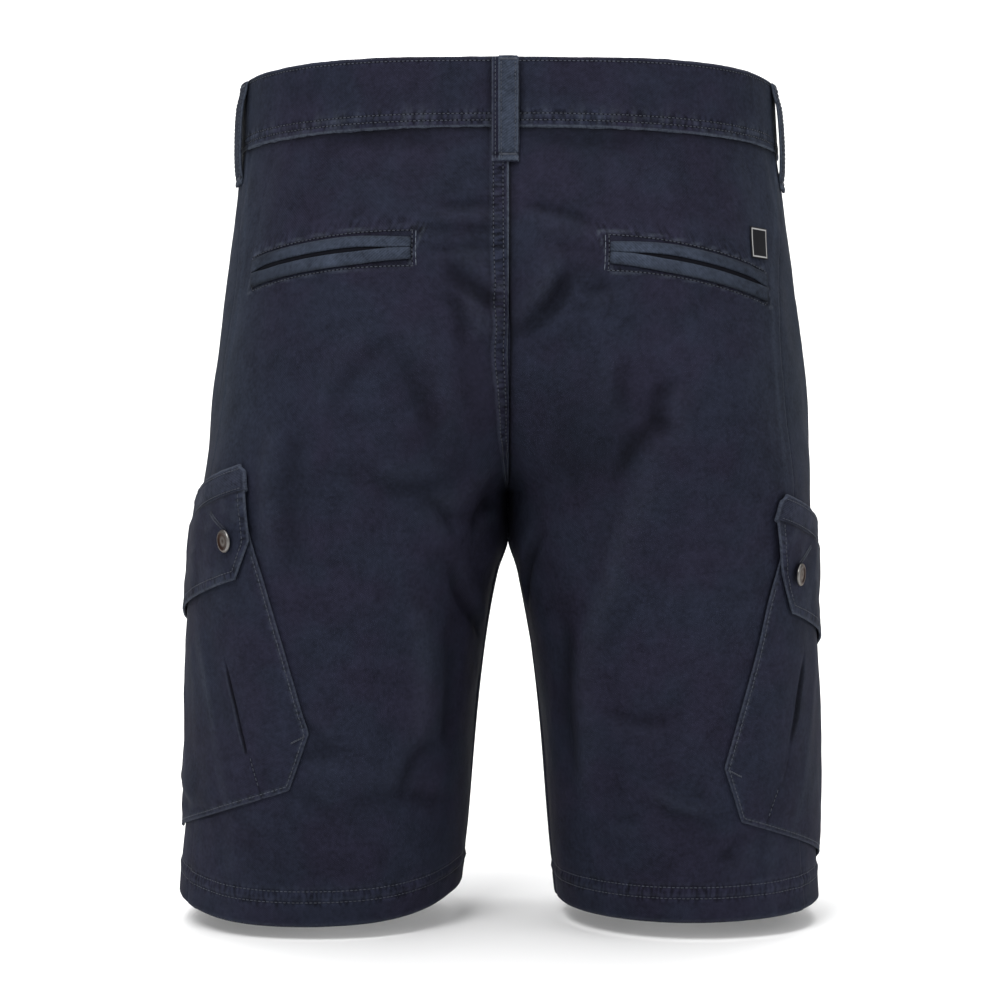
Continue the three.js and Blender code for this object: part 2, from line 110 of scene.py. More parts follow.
# side, w, z, length, width, lean, rise
FOLDS = [
    (1, 262, -262, 90, 26, 38, -2.4),
    (1, 226, -300, 120, 34, 20, 1.6),
    (1, 196, -352, 110, 30, -12, -1.6),
    (1, 232, -160, 90, 30, 58, -1.6),
    (1, -246, -206, 110, 28, 52, -2.6),
    (1, -205, -250, 120, 34, 34, 2.0),
    (1, -190, -350, 120, 34, 10, -2.0),
    (-1, 258, -268, 100, 26, 34, -2.2),
    (-1, 220, -310, 120, 34, 16, 1.6),
    (-1, 190, -366, 100, 30, -14, -1.6),
    (-1, 236, -150, 90, 30, 60, -1.4),
    (-1, -240, -210, 110, 28, 48, -2.4),
    (-1, -200, -256, 120, 34, 30, 2.2),
    (-1, -186, -344, 120, 34, 8, -1.8),
]
# Creases: side, start w and z, end w and z, bend, width, rise, and the way of the ridge beside
CREASES = [
    (1, 120, -26, 182, -29, 2, 5.0, -0.9, 1),
    (1, 198, -66, 232, -65, 1, 3.2, -0.9, -1),
    (1, 192, -77, 236, -77, -1, 3.2, -0.8, 1),
    (1, 204, -90, 240, -88, 1, 3.0, -0.8, -1),
    (1, 214, -97, 252, -118, -3, 4.5, -1.9, 1),
    (1, 219, -114, 235, -142, 3, 4.0, -1.3, 1),
    (1, 229, -114, 254, -134, -2, 5.0, 1.5, 0),
    (1, 190, -138, 168, -176, -3, 6.0, -0.9, -1),
    (1, 190, -138, 228, -196, 6, 6.5, -1.1, 1),
    (1, 131, -186, 129, -258, 3, 6.5, 1.4, 0),
    (1, 146, -190, 143, -262, 3, 7.0, -1.1, 0),
    (1, 197, -217, 236, -214, -4, 5.0, -1.1, 1),
    (1, 229, -227, 276, -206, -5, 6.5, 1.5, 0),
    (1, 225, -224, 243, -240, 2, 4.5, -1.3, -1),
    (1, 292, -224, 262, -240, -3, 4.5, -1.6, 1),
    (1, 238, -266, 288, -304, -4, 5.5, -1.5, 1),
    (1, 237, -304, 231, -366, 2, 8.0, -1.3, -1),
    (1, 213, -281, 206, -364, 3, 8.0, 1.2, 0),
    (1, 193, -395, 220, -362, 4, 5.0, -1.1, 1),
    (1, 134, -349, 152, -364, 2, 4.0, -0.9, 1),
    (1, 139, -369, 159, -369, 1, 4.0, -0.9, -1),
    (1, 135, -392, 149, -403, 1, 4.0, -0.8, 1),
    (1, 14, -401, 95, -400, -6, 5.0, -1.0, 1),
    (1, 160, -396, 236, -404, 5, 6.0, -0.8, 1),
    (-1, 216, -27, 142, -27, 2, 5.0, -0.9, -1),
    (-1, 230, -65, 192, -76, -2, 3.6, -1.0, 1),
    (-1, 226, -84, 196, -90, 2, 4.0, -0.6, -1),
    (-1, 215, -98, 258, -134, -4, 4.2, -2.0, 1),
    (-1, 222, -106, 238, -123, -2, 3.4, -1.0, 1),
    (-1, 213, -111, 195, -108, 1, 3.6, -0.9, 1),
    (-1, 199, -150, 203, -180, 3, 5.0, -1.0, 1),
    (-1, 177, -160, 184, -186, 4, 5.5, -1.7, -1),
    (-1, 183, -182, 208, -212, 4, 6.0, -1.6, -1),
    (-1, 216, -168, 238, -214, 6, 20.0, -0.5, 0),
    (-1, 188, -216, 201, -274, 5, 8.0, 1.3, 0),
    (-1, 200, -268, 214, -336, 3, 8.0, 1.3, 0),
    (-1, 214, -332, 213, -394, -3, 8.0, 1.1, 0),
    (-1, 232, -290, 222, -384, 4, 9.0, -1.5, 0),
    (-1, 193, -345, 160, -350, 2, 3.6, -1.0, 1),
    (-1, 163, -390, 133, -402, 2, 4.2, 1.2, 0),
    (-1, 160, -399, 128, -408, 2, 4.2, -0.9, 0),
    (-1, 188, -408, 170, -407, 1, 3.2, -0.8, 1),
    (-1, 124, -432, 110, -417, 2, 4.6, -1.0, 1),
    (-1, 262, -248, 292, -286, 4, 5.0, -1.4, 1),
    (1, 30, -96, 12, -190, 5, 8.0, -1.0, 1),
    (-1, 26, -92, 10, -186, 5, 8.0, -1.0, 1),
    (1, -40, -60, -70, -120, 6, 6.0, -1.0, 1),
    (-1, -40, -60, -72, -120, 6, 6.0, -1.0, 1),
    (1, -196, -150, -232, -196, -5, 6.0, -1.6, 1),
    (-1, -190, -156, -230, -200, -5, 6.0, -1.6, 1),
    (1, -120, -210, -168, -250, 6, 7.0, -1.2, 1),
    (-1, -124, -214, -166, -258, 6, 7.0, -1.2, 1),
    (1, -118, -330, -150, -392, 5, 7.0, -1.2, -1),
    (-1, -122, -334, -146, -396, 5, 7.0, -1.2, -1),
    (1, -232, -262, -270, -306, 5, 6.0, -1.3, 1),
    (-1, -228, -268, -264, -312, 5, 6.0, -1.3, 1),
]

# w, z and depth of the shadow by side, where the seat turns in towards the crotch
SEAT_SHADE = {1: (232.0, -196.0, 0.14), -1: (222.0, -200.0, 0.34)}

LAP_UNDER = 20.0
LAP_OVER = 18.0
LAP_RAMP = (48.0, 21.0)
LAP_RISE = BAND_WALL + GAP
LOOP_WIDTH = 15.0
LOOP_WALL = 1.6
LOOP_TOP = 19.5
LOOP_RISE = np.array(
    [
        [-42.5, 0.4],
        [-37, 0.6],
        [-30, 2.2],
        [-20, 3.6],
        [-6, 4.0],
        [6, 3.6],
        [14, 2.0],
        [20, 1.4],
    ]
)
LOOPS = {
    "loop_back": (0, 0),
    "loop_side_left": (1, 36),
    "loop_side_right": (-1, 30),
    "loop_front_left": (1, -128),
    "loop_front_right": (-1, -128),
}
LOOP_FOOT = {
    "loop_back": -40.2,
    "loop_side_left": -40.0,
    "loop_side_right": -42.2,
    "loop_front_left": -41.0,
    "loop_front_right": -41.0,
}
TAPE_WIDTH = 10.8
TAPE_SHIFT = -1.5
TAPE_WALL = 0.8
TAPE_TOP = 19.0
BACK_LOOP_SHIFT = 1.8
# side, inner, outer, zInner, zMid, zOuter
JETS = {
    "left": (1, 190.0, 87.0, -87.5, -89.5, -97.0),
    "right": (-1, 191.0, 93.0, -90.0, -94.5, -105.5),
}
WELTS = {"upper": (0.9, 7.2), "lower": (-8.2, -0.9)}
WELT_WALL = 1.2
WELT_DRAWN = 2.1
WELT_SHEAR = 0.4
FRAME_OFF = 2.0
EDGE_OFF = 3.1
LABEL = {"side": -1, "w": 87.5, "z": -80.0, "width": 15.5, "height": 18.0, "shear": 0.42}
LABEL_WALL = 0.6
# side, w, z, turn, taper, shift
CARGO = {
    "left": (1, 117.0, -205.0, 13.0, 5.0, 0.0),
    "right": (-1, 108.0, -222.0, 13.0, 17.0, -9.0),
}
FLAP_HALF = 95.0
FLAP_STRIP = 15.5
FLAP_KNEE = 44.0
FLAP_DROP = 63.0
FLAP_CUT = 18.0
FLAP_WALL = 1.6
FLAP_STRIP_RISE = 3.6
FLAP_TOP_RISE = 2.9
FLAP_HANG = 0.7
POCKET_TOP = 18.0
POCKET_HALF = 90.0
POCKET_CORNER = 160.0
CORNER_HALF = 85.0
POCKET_DROP = 187.0
DROP_HALF = 65.0
POCKET_EDGE = 2.3
POCKET_CROWN = 1.3
POCKET_SKEW = 0.0005
PLEAT_FROM = 46.0
# By side: where the pleat starts to open, where it ends, how wide it gapes and how it bows
PLEAT_START = {1: 98.0, -1: 77.0}
PLEAT_END = {1: 161.0, -1: 148.0}
PLEAT_GAPE = {1: 0.55, -1: 1.7}
PLEAT_BOW = {1: 1.0, -1: -2.0}
PLEAT_JOG = 2.4
BUTTON_DOWN = 41.0
BUTTON_INSET = 16.0
BUTTON_LEAN = 0.27
FLAP_BUTTON = (13.0, 2.6)
WAIST_BUTTON = (17.0, 3.4)
WAIST_BUTTON_PAST = 3.0
FLY_PAST = 5.0
FLY_WIDTH = 34.0
FLY_STRAIGHT = 112.0
FLY_DROP = 152.0
FLY_FOOT = 3.0
FLY_WALL = 1.4

CB_BAND = 9.3
SEAM_TAPE = 15.0
CB_ROWS = (3.0, 8.3)
SIDE_BAND = 8.6
INSEAM_BAND = 7.5
INSEAM_ROWS = (1.6, 6.4)
HEM_ROWS = (13.2, 19.6)
BAND_ROWS = (18.6, -12.6, -16.6)
POCKET_ROWS = (2.2,)
FLAP_ROWS = (4.6,)
# length and radius of the dark spindle of painted shadow in the dimple between two stitches
DIMPLE_SHADOW = (1.15, 0.36)
CORNER_STEPS = (0.01, 0.05, 0.12, 0.25, 0.5, 0.9, 1.3)


def smooth(t):
    """The step 3t^2 - 2t^3, from 0 at 0 to 1 at 1."""
    t = np.clip(t, 0.0, 1.0)
    return t * t * (3.0 - 2.0 * t)


def bump(x, width):
    """A soft hump of height 1: e to the power of -(x / width)^2."""
    return np.exp(-((x / width) ** 2))


def curve(x, y, q):
    """The monotone cubic through the points x, y, read at q."""
    step = np.diff(x)
    rise = np.diff(y) / step
    before = 2 * step[1:] + step[:-1]
    after = step[1:] + 2 * step[:-1]
    with np.errstate(divide="ignore", invalid="ignore"):
        middle = (before + after) / (before / rise[:-1] + after / rise[1:])
    slope = np.concatenate([rise[:1], np.where(rise[:-1] * rise[1:] > 0, middle, 0), rise[-1:]])
    i = np.clip(np.searchsorted(x, q) - 1, 0, len(step) - 1)
    t = (q - x[i]) / step[i]
    low = y[i] * (1 + 2 * t) + slope[i] * step[i] * t
    high = y[i + 1] * (3 - 2 * t) + slope[i + 1] * step[i] * (t - 1)
    return low * (1 - t) ** 2 + high * t * t


def ripple(x, y, seed):
    """Smooth noise from -1 to 1: random heights one unit apart, blended by smooth steps."""
    heights = np.random.default_rng(seed).uniform(-1, 1, (97, 89))
    i = np.floor(x).astype(int)
    j = np.floor(y).astype(int)
    tx = smooth(x - i)
    ty = smooth(y - j)

    def at(a, b):
        return heights[(i + a) % 97, (j + b) % 89]

    low = at(0, 0) * (1 - tx) + at(1, 0) * tx
    high = at(0, 1) * (1 - tx) + at(1, 1) * tx
    return low * (1 - ty) + high * ty


class Half:
    """One half of the garment, a closed tube of superellipse sections.

    At height z and angle t, which is pi on the outermost line, the outside lies at
    x = centre - sign(cos t) half |cos t|^(2/q) and y = depth |sin t|^(2/q).
    """

    angles = 161

    def __init__(self, side):
        self.side = side
        above = CROTCH + (26.0 - CROTCH) * np.linspace(1, 0, 220) ** 2.2
        below = np.linspace(CROTCH, HEM - 4, 140)[1:]
        self.levels = np.concatenate([above, below])[::-1]
        self.share = np.linspace(0, 1, self.angles)
        self.unrolled = {way: self.unroll(way) for way in (1, -1)}

    def section(self, z):
        """Outer side, centre, inner half width, half depths and power at height z."""
        z = np.asarray(z, float)
        columns = [curve(SECTIONS[:, 0], SECTIONS[:, k], z) for k in range(1, 8)]
        outer, narrow, centre, inner, back, front, square = columns
        if self.side < 0:
            outer = outer - narrow
            centre = centre - narrow / 2
            inner = inner - narrow / 2
        return outer, centre, inner, back, front, square

    def point(self, z, way, angle):
        """x, y and the outward normal at height z and an angle, and how far out it lies."""
        outer, centre, inner, back, front, square = self.section(z)
        depth = np.where(np.asarray(way) > 0, back, front)
        c = np.cos(angle)
        half = np.where(c > 0, inner, outer - centre)
        across = -np.sign(c) * np.abs(c) ** (2 / square)
        deep = np.abs(np.sin(angle)) ** (2 / square)
        nx = np.sign(across) * np.abs(across) ** (square - 1) / half
        ny = way * deep ** (square - 1) / depth
        n = np.hypot(nx, ny)
        return centre + half * across, way * depth * deep, nx / n, ny / n, across

    def unroll(self, way):
        """For each level, the length from the outermost line to the middle or the inseam,
        and the angle at each even share of that length."""
        z = self.levels[:, None]
        _, centre, inner, _, _, square = self.section(z)
        start = np.arccos(np.clip((centre - GAP / 2) / inner, 0, 1) ** (square / 2))
        turn = 0.5 + 0.5 * np.cos(np.pi * self.share)[None, :]
        angle = start + (np.pi - start) * turn
        x, y, _, _, _ = self.point(z, way, angle)
        steps = np.hypot(np.diff(x, axis=1), np.diff(y, axis=1))
        run = np.concatenate([np.zeros((len(z), 1)), np.cumsum(steps, axis=1)], axis=1)
        length = run[:, -1]
        rows = [np.interp(self.share * length[k], run[k], angle[k]) for k in range(len(z))]
        return length, np.array(rows)

    def length(self, z, way):
        return np.interp(z, self.levels, self.unrolled[way][0])

    def seam(self, z):
        return curve(SIDE_SEAMS[:, 0], SIDE_SEAMS[:, 1 if self.side > 0 else 2], z)

    def angle(self, z, way, share):
        """The angle at a share of the length, read between levels and even shares."""
        table = self.unrolled[way][1]
        k = np.clip(np.searchsorted(self.levels, z) - 1, 0, len(self.levels) - 2)
        tz = np.clip((z - self.levels[k]) / (self.levels[k + 1] - self.levels[k]), 0, 1)
        f = np.clip(share, 0, 1) * (self.angles - 1)
        i = np.clip(f.astype(int), 0, self.angles - 2)
        tf = f - i
        low = table[k, i] * (1 - tf) + table[k, i + 1] * tf
        high = table[k + 1, i] * (1 - tf) + table[k + 1, i + 1] * tf
        return low * (1 - tz) + high * tz

    def at(self, w, z, lift=0.0):
        """Points of the outside at w and z, moved out by lift and by the folds."""
        w, z, lift = np.broadcast_arrays(*[np.asarray(v, float) for v in (w, z, lift)])
        way = np.where(w < 0, -1, 1)
        angle = np.zeros(w.shape)
        for turn in (1, -1):
            mask = way == turn
            share = np.abs(w[mask]) / self.length(z[mask], turn)
            angle[mask] = self.angle(z[mask], turn, share)
        x, y, nx, ny, out = self.point(z, way, angle)
        move = lift + self.folds(w, z) + self.creases(w, z)
        mid, sides, ends, back = HEMS[self.side]
        waist = smooth((z - WAIST_FADE[0]) / (WAIST_FADE[1] - WAIST_FADE[0]))
        hem = smooth((HEM_FADE[0] - z) / (HEM_FADE[0] - HEM_FADE[1]))
        rise = waist * (WAIST_LIFT + WAIST_TILT * y / 100)
        rise = rise + hem * (mid + sides * out + ends * out**4 + back * y / HEM_DEPTH)
        return np.stack([self.side * (x + move * nx), y + move * ny, z + rise], -1)

    def folds(self, w, z):
        """The large folds: rise e^(-across^2 - along^4), each turned by its lean."""
        total = np.zeros(w.shape)
        for side, fw, fz, length, width, lean, rise in FOLDS:
            if side != self.side:
                continue
            c = math.cos(math.radians(lean))
            s = math.sin(math.radians(lean))
            along = ((w - fw) * s + (z - fz) * c) / (length / 2)
            across = ((w - fw) * c - (z - fz) * s) / (width / 2)
            total += rise * np.exp(-(across**2) - along**4)
        return total

    def crease_lines(self, w, z):
        """Each crease's rise, how near its bent line is, as e^-(across/width)^2 faded at its
        ends, and the same for the companion beside it."""
        for side, w0, z0, w1, z1, bend, width, rise, beside in CREASES:
            if side != self.side:
                continue
            dw, dz = w1 - w0, z1 - z0
            length = math.hypot(dw, dz)
            t = ((w - w0) * dw + (z - z0) * dz) / length**2
            across = ((z - z0) * dw - (w - w0) * dz) / length - bend * 4 * t * (1 - t)
            ends = smooth((t + 0.2) / 0.45) * smooth((1.2 - t) / 0.45)
            along = bump(across - beside * 1.9 * width, 1.4 * width) * ends * abs(beside)
            yield rise, bump(across, width) * ends, along

    def crease_marks(self, w, z):
        """Painted shade in the creases' troughs and painted highlights on their ridges: how dark and how pale.
        """
        valleys = np.zeros(w.shape)
        ridge_highlights = np.zeros(w.shape)
        for rise, line, along in self.crease_lines(w, z):
            valleys += max(-rise, 0) * line
            ridge_highlights += max(rise, 0) * line + max(-rise, 0) * 0.5 * along
        return np.minimum(valleys, 1.6), np.minimum(ridge_highlights, 1.6)

    def creases(self, w, z):
        """Creases along bent lines, each a trough or ridge of e^-(across/width)^2 with its
        companion beside it, over broad soft dents. All fade at the seams in the middle."""
        depth = bpy.context.scene.shorts_cloth.crease_depth
        total = np.zeros(w.shape)
        for rise, line, along in self.crease_lines(w, z):
            total += 1.9 * rise * (line - 0.5 * along)
        broad = 0.95 * ripple(w / 46 + 3.1 * self.side, z / 58, 11)
        middle = 0.42 * ripple(w / 19 + 7.7, z / 25 + 1.7 * self.side, 12)
        fine = 0.13 * ripple(w / 7.5, z / 9 + 2.3 * self.side, 13)
        way = np.where(w < 0, -1, 1)
        end = np.where(way > 0, self.length(z, 1), self.length(z, -1))
        inner = smooth((end - np.abs(w)) / 12)
        band = 0.35 + 0.65 * smooth((-22 - z) / 14)
        return depth * (total + band * (broad + middle + fine)) * inner


def along_waist(z, side):
    return HALVES[side].length(z, 1) + HALVES[side].length(z, -1)


def around(s, z, lift=0.0):
    """The outside at the length s from the middle of the back, to the left when positive.
    Past the middle of the front it goes on round the other half."""
    s, z, lift = np.broadcast_arrays(*[np.asarray(v, float) for v in (s, z, lift)])
    points = np.zeros(s.shape + (3,))
    for side in (1, -1):
        mine = s >= 0 if side > 0 else s < 0
        past = np.abs(s) - along_waist(z, side)
        near = mine & (past <= 0)
        far = mine & (past > 0)
        back = HALVES[side].length(z, 1)
        points[near] = HALVES[side].at((back - np.abs(s))[near], z[near], lift[near])
        other = HALVES[-side]
        points[far] = other.at((past - other.length(z, -1))[far], z[far], lift[far])
    return points


def plateau(d, width):
    """A strip from 0 to width with soft shoulders: a rise in 0.9 and a fall in 1.1."""
    return (0.4 + 0.6 * smooth(d / 0.9)) * smooth((width + 0.6 - d) / 1.1)


def band_mask(d, low, high):
    """1 between low and high, with soft ends 1 long."""
    return smooth(d - low + 0.5) * smooth(high - d + 0.5)


def rows_at(d, rows, width=0.9):
    """A groove of e^-(x/width)^2 at each row of stitches."""
    return sum(bump(d - row, width) for row in rows)


def panel_marks(half, way, w, z):
    """Lift, pale edges that are partly worn and partly painted highlight, and painted shadow of a
    panel at w and z: seams raised as strips with grooves at their stitches, small gathers
    along them, and the hem's rows."""
    seam = half.seam(z)
    from_seam = way * (w - seam)
    end = way * half.length(z, way)
    from_end = np.abs(end - w)
    above = smooth((z - CROTCH - 1) / 5)
    high = z - HEM
    lift = np.zeros(w.shape)
    wear = np.zeros(w.shape)
    shade = np.zeros(w.shape)
    pucker = np.zeros(w.shape)
    upright = np.zeros(w.shape)
    gather = 0.44 * ripple(z / 2.9, from_end / 14, 21) + 0.26 * ripple(z / 6.5, from_end / 22, 22)
    if way > 0 and half.side > 0:
        strip = 0.95 * plateau(from_end, CB_BAND) - 0.28 * rows_at(from_end, CB_ROWS)
        lift += above * strip
        lift += above * gather * bump(from_end - 5.5, 7.0) * smooth(from_end / 2)
        # Pale line on the seam's rolled edge: partly worn cotton, partly a painted highlight.
        wear += above * (1.1 * bump(from_end, 0.7) + 0.12 * bump(from_end - CB_BAND, 0.9))
        wear += above * 0.2 * smooth(ripple(z / 2.4, from_end / 9, 23) * 2) * bump(from_end - 5, 4)
        shade += above * 0.3 * bump(from_end - CB_BAND - 1.9, 1.3)
        upright += above * band_mask(from_end, 1.6, CB_BAND)
    elif way > 0:
        lift += above * (-0.4 * bump(from_end, 2.2))
        lift += above * 0.6 * gather * bump(from_end - 3, 5.0) * smooth(from_end / 2)
        shade += above * (1.2 * bump(from_end, 1.2) + 0.35 * bump(from_end - 2, 2.5))
        low = smooth((-192 - z) / 14)
        shade += above * low * 0.9 * bump(from_end - 1.0, 2.8)
    else:
        lift += above * (0.35 * plateau(from_end, 2.2))
        wear += above * 0.4 * bump(from_end, 1.0)
    inseam = (1 - above) * (0.55 * plateau(from_end, INSEAM_BAND) if way > 0 else 0)
    lift += inseam - (1 - above) * (0.2 * rows_at(from_end, INSEAM_ROWS) if way > 0 else 0)
    wear += (1 - above) * 0.3 * bump(from_end, 0.8)
    side_gather = 0.26 * ripple(z / 3.4, from_seam / 14, 24)
    if way > 0:
        lift += 0.45 * plateau(from_seam, SIDE_BAND)
        high_up = 0.35 + 0.65 * smooth((z + 240) / 40)
        wear += 0.42 * high_up * bump(from_seam, 0.9)
        wear += 0.14 * high_up * bump(from_seam - SIDE_BAND, 2.0)
    else:
        lift += -0.3 * bump(from_seam, 2.0)
        shade += 0.6 * bump(from_seam, 1.2)
    lift += side_gather * bump(from_seam - 5, 6)
    reach = np.where(high < 16.7, bump(high - 16.7, 5.5), bump(high - 16.7, 8.0))
    hem_gather = ripple(w / 3.0, high / 11, 25) * 0.36 + ripple(w / 7.0, high / 15, 26) * 0.3
    lift += hem_gather * reach + 0.25 * bump(high - 16.7, 3.5)
    lift += -0.42 * rows_at(high, HEM_ROWS, 1.1) + 0.5 * smooth((HEM_ROWS[1] - high) / 3)
    wear += 0.2 * bump(high, 0.9) + 0.12 * rows_at(high, [row + 1.4 for row in HEM_ROWS], 0.8)
    shade += 0.4 * rows_at(high, HEM_ROWS, 0.8)
    pucker += 0.8 * band_mask(high, HEM_ROWS[0] - 2, HEM_ROWS[1] + 2)
    top = PANEL_TOP - z
    lift += 0.22 * ripple(w / 3.4, top / 12, 27) * bump(top, 9)
    shade += 0.75 * bump(top, 2.2) + 0.25 * bump(top, 6.0)
    for name, jet in JETS.items():
        if jet[0] != half.side or way < 0:
            continue
        up, share, inside = jet_place(jet, w, z)
        beyond = np.maximum(np.maximum(np.abs(up) - 8, 0), 103 * np.maximum(-share, share - 1))
        ring = bump(beyond - 4.5, 3.5) * (beyond > 0)
        lift += ring * 0.24 * ripple(w / 2.8, z / 10, 28)
        shade += (0.55 * bump(beyond - 0.6, 0.8) + 0.3 * bump(beyond - 2.0, 0.8)) * inside
        wear += 0.4 * bump(beyond - 3.2, 0.6) * inside
        pucker += 0.8 * bump(beyond - 2.2, 1.4) * inside
        pucker += 0.5 * bump(beyond - 5.5, 4.5) * inside * (up > 0)
    if way > 0:
        streaks = smooth(1.5 * ripple(w / 4.5, z / 70, 29)) * bump(w - 40, 38)
        wear += 0.16 * streaks
        lift += 0.16 * ripple(w / 6, z / 60, 30) * bump(w - 40, 38)
        seat_w, seat_z, seat_dark = SEAT_SHADE[half.side]
        shade += seat_dark * bump(np.hypot((w - seat_w) / 38, (z - seat_z) / 34), 1)
    # Painted shade in the creases' troughs and painted highlights on their ridges.
    valleys, ridge_highlights = half.crease_marks(w, z)
    shade += 0.38 * valleys
    wear += 0.05 * ridge_highlights
    marks = {"wear": wear, "shade": shade, "pucker": pucker, "upright": upright}
    return lift, {key: np.clip(values, 0, 1) for key, values in marks.items()}


def jet_place(jet, w, z):
    """Where w, z lie on a back pocket: height above its slit, share of its length from the
    inner end, and a mask that is 1 near it."""
    _, inner, outer, z0, z1, z2 = jet
    share = (inner - w) / (inner - outer)
    up = z - slit_height(jet, np.clip(share, 0, 1))
    near = (share > -0.08) & (share < 1.08) & (np.abs(up) < 19)
    return up, share, near.astype(float)


def slit_height(jet, t):
    """The parabola through the slit's two ends and its middle."""
    _, _, _, z0, z1, z2 = jet
    bend = 2 * (z0 + z2 - 2 * z1)
    return z0 + (z2 - z0) * t - bend * t * (1 - t)


def on_panel(half, way, w, z, extra=0.0):
    """A point on a panel's own outside, with its seams and gathers, lifted by extra."""
    w, z = np.broadcast_arrays(np.asarray(w, float), np.asarray(z, float))
    lift = panel_marks(half, way, w, z)[0]
    return half.at(w, z, lift + extra)


def cargo_place(cargo, a, b):
    """w and z of a pocket's own place, a towards the back and b down from the flap's top."""
    _, cw, cz, turn, _, _ = cargo
    c = math.cos(math.radians(turn))
    s = math.sin(math.radians(turn))
    along = a - FLAP_HALF
    down = b * (1 - POCKET_SKEW * a)
    return cw + along * c + down * s, cz + along * s - down * c


def on_cargo(cargo, a, b, lift):
    a, b, lift = np.broadcast_arrays(*[np.asarray(v, float) for v in (a, b, lift)])
    w, z = cargo_place(cargo, a, b)
    return HALVES[cargo[0]].at(w, z, lift)


def flap_half(cargo, b):
    """Half the flap's width: straight sides drawn in to the knee, then cut corners."""
    knee = FLAP_HALF - cargo[4]
    upper = FLAP_HALF + (knee - FLAP_HALF) * np.clip((b - FLAP_STRIP) / (FLAP_KNEE - FLAP_STRIP), 0, 1)
    lower = knee - FLAP_CUT * (b - FLAP_KNEE) / (FLAP_DROP - FLAP_KNEE)
    return np.where(b < FLAP_KNEE, upper, lower)


def pocket_half(b):
    upper = POCKET_HALF + (CORNER_HALF - POCKET_HALF) * (b - POCKET_TOP) / (POCKET_CORNER - POCKET_TOP)
    lower = CORNER_HALF + (DROP_HALF - CORNER_HALF) * (b - POCKET_CORNER) / (POCKET_DROP - POCKET_CORNER)
    return np.where(b < POCKET_CORNER, upper, lower)


def wall(outside, inside, push=0.45):
    """A closed wall between two grids of points. A middle line, half way between the two
    rims and pushed outwards by a share of the thickness, rounds the edge.

    Returns the points, the faces and, for each point, the place on the grid it belongs to.
    """
    rows, columns = outside.shape[:2]
    i, j = np.meshgrid(np.arange(rows), np.arange(columns), indexing="ij")
    number = i * columns + j
    size = rows * columns
    rim = np.concatenate(
        [
            number[0, :-1],
            number[:-1, -1],
            number[-1, :0:-1],
            number[:0:-1, 0],
        ]
    )
    neighbour = np.clip(i, 1, rows - 2) * columns + np.clip(j, 1, columns - 2)
    flat = outside.reshape(-1, 3)
    back = inside.reshape(-1, 3)
    away = flat[rim] - flat[neighbour.ravel()[rim]]
    away /= np.maximum(np.linalg.norm(away, axis=1, keepdims=True), 1e-9)
    thick = np.linalg.norm(flat[rim] - back[rim], axis=1, keepdims=True)
    middle = (flat[rim] + back[rim]) / 2 + away * thick * push
    points = np.concatenate([flat, back, middle])
    place = np.concatenate([np.arange(size), np.arange(size), rim])
    a = number[:-1, :-1].ravel()
    quads = np.stack([a, a + 1, a + 1 + columns, a + columns], 1)
    after = np.roll(rim, -1)
    ring = 2 * size + np.arange(len(rim))
    ring_after = np.roll(ring, -1)
    upper = np.stack([after, rim, ring, ring_after], 1)
    lower = np.stack([ring_after, ring, rim + size, after + size], 1)
    faces = np.concatenate([quads, quads[:, ::-1] + size, upper, lower])
    first = points[faces[:, 0]]
    side_a = points[faces[:, 2]] - first
    side_b = points[faces[:, 3]] - points[faces[:, 1]]
    centre = points[faces].mean(1) - points.mean(0)
    if (np.cross(side_a, side_b) * centre).sum() < 0:
        faces = faces[:, ::-1]
    return points, faces, place


def make_piece(name, points, faces, finish, nodes=(), uv=None, marks=None):
    """Puts points and faces into a mesh at the origin and ties it to the frame."""
    mesh = bpy.data.meshes.new(name)
    groups = faces if isinstance(faces, list) else [faces]
    corners = np.concatenate([group.ravel() for group in groups]).astype(np.int32)
    counts = np.concatenate([np.full(len(group), group.shape[1]) for group in groups])
    starts = np.concatenate([[0], np.cumsum(counts)[:-1]]).astype(np.int32)
    mesh.vertices.add(len(points))
    mesh.vertices.foreach_set("co", (points * MM).astype(np.float32).ravel())
    mesh.loops.add(len(corners))
    mesh.loops.foreach_set("vertex_index", corners)
    mesh.polygons.add(len(counts))
    mesh.polygons.foreach_set("loop_start", starts)
    mesh.polygons.foreach_set("use_smooth", np.ones(len(counts), bool))
    mesh.update(calc_edges=True)
    mesh.validate()
    if uv is not None:
        layer = mesh.uv_layers.new(name="cut")
        layer.data.foreach_set("uv", (uv * MM).astype(np.float32)[corners].ravel())
    for key, values in (marks or {}).items():
        attribute = mesh.attributes.new(key, "FLOAT", "POINT")
        attribute.data.foreach_set("value", values.astype(np.float32))
    mesh.materials.append(finish)
    piece = bpy.data.objects.new(name, mesh)
    bpy.context.scene.collection.objects.link(piece)
    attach(piece, "root")
    if nodes:
        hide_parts(*nodes)
    return piece


def sew(name, outside, inside, uv, finish, slot, nodes=(), push=0.45, **given):
    """A piece of cloth from two grids, with its place on the cut, and where it is worn pale or
    given a painted highlight, in painted shadow, or puckered by stitches that run along the
    cut's width or upright."""
    points, faces, place = wall(outside, inside, push)
    size = outside.shape[0] * outside.shape[1]
    marks = {}
    for key in ("wear", "shade", "pucker", "upright"):
        values = np.broadcast_to(given.get(key, 0.0), outside.shape[:2])
        marks[key] = np.clip(values.ravel()[place], 0, 1)
    marks["wear"][size : 2 * size] *= 0.3
    marks["wear"][2 * size :] *= given.get("rim", 1.0)
    return make_piece(
        name + "_cloth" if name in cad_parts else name,
        points,
        faces,
        finish,
        nodes,
        uv.reshape(-1, 2)[place],
        marks,
    )


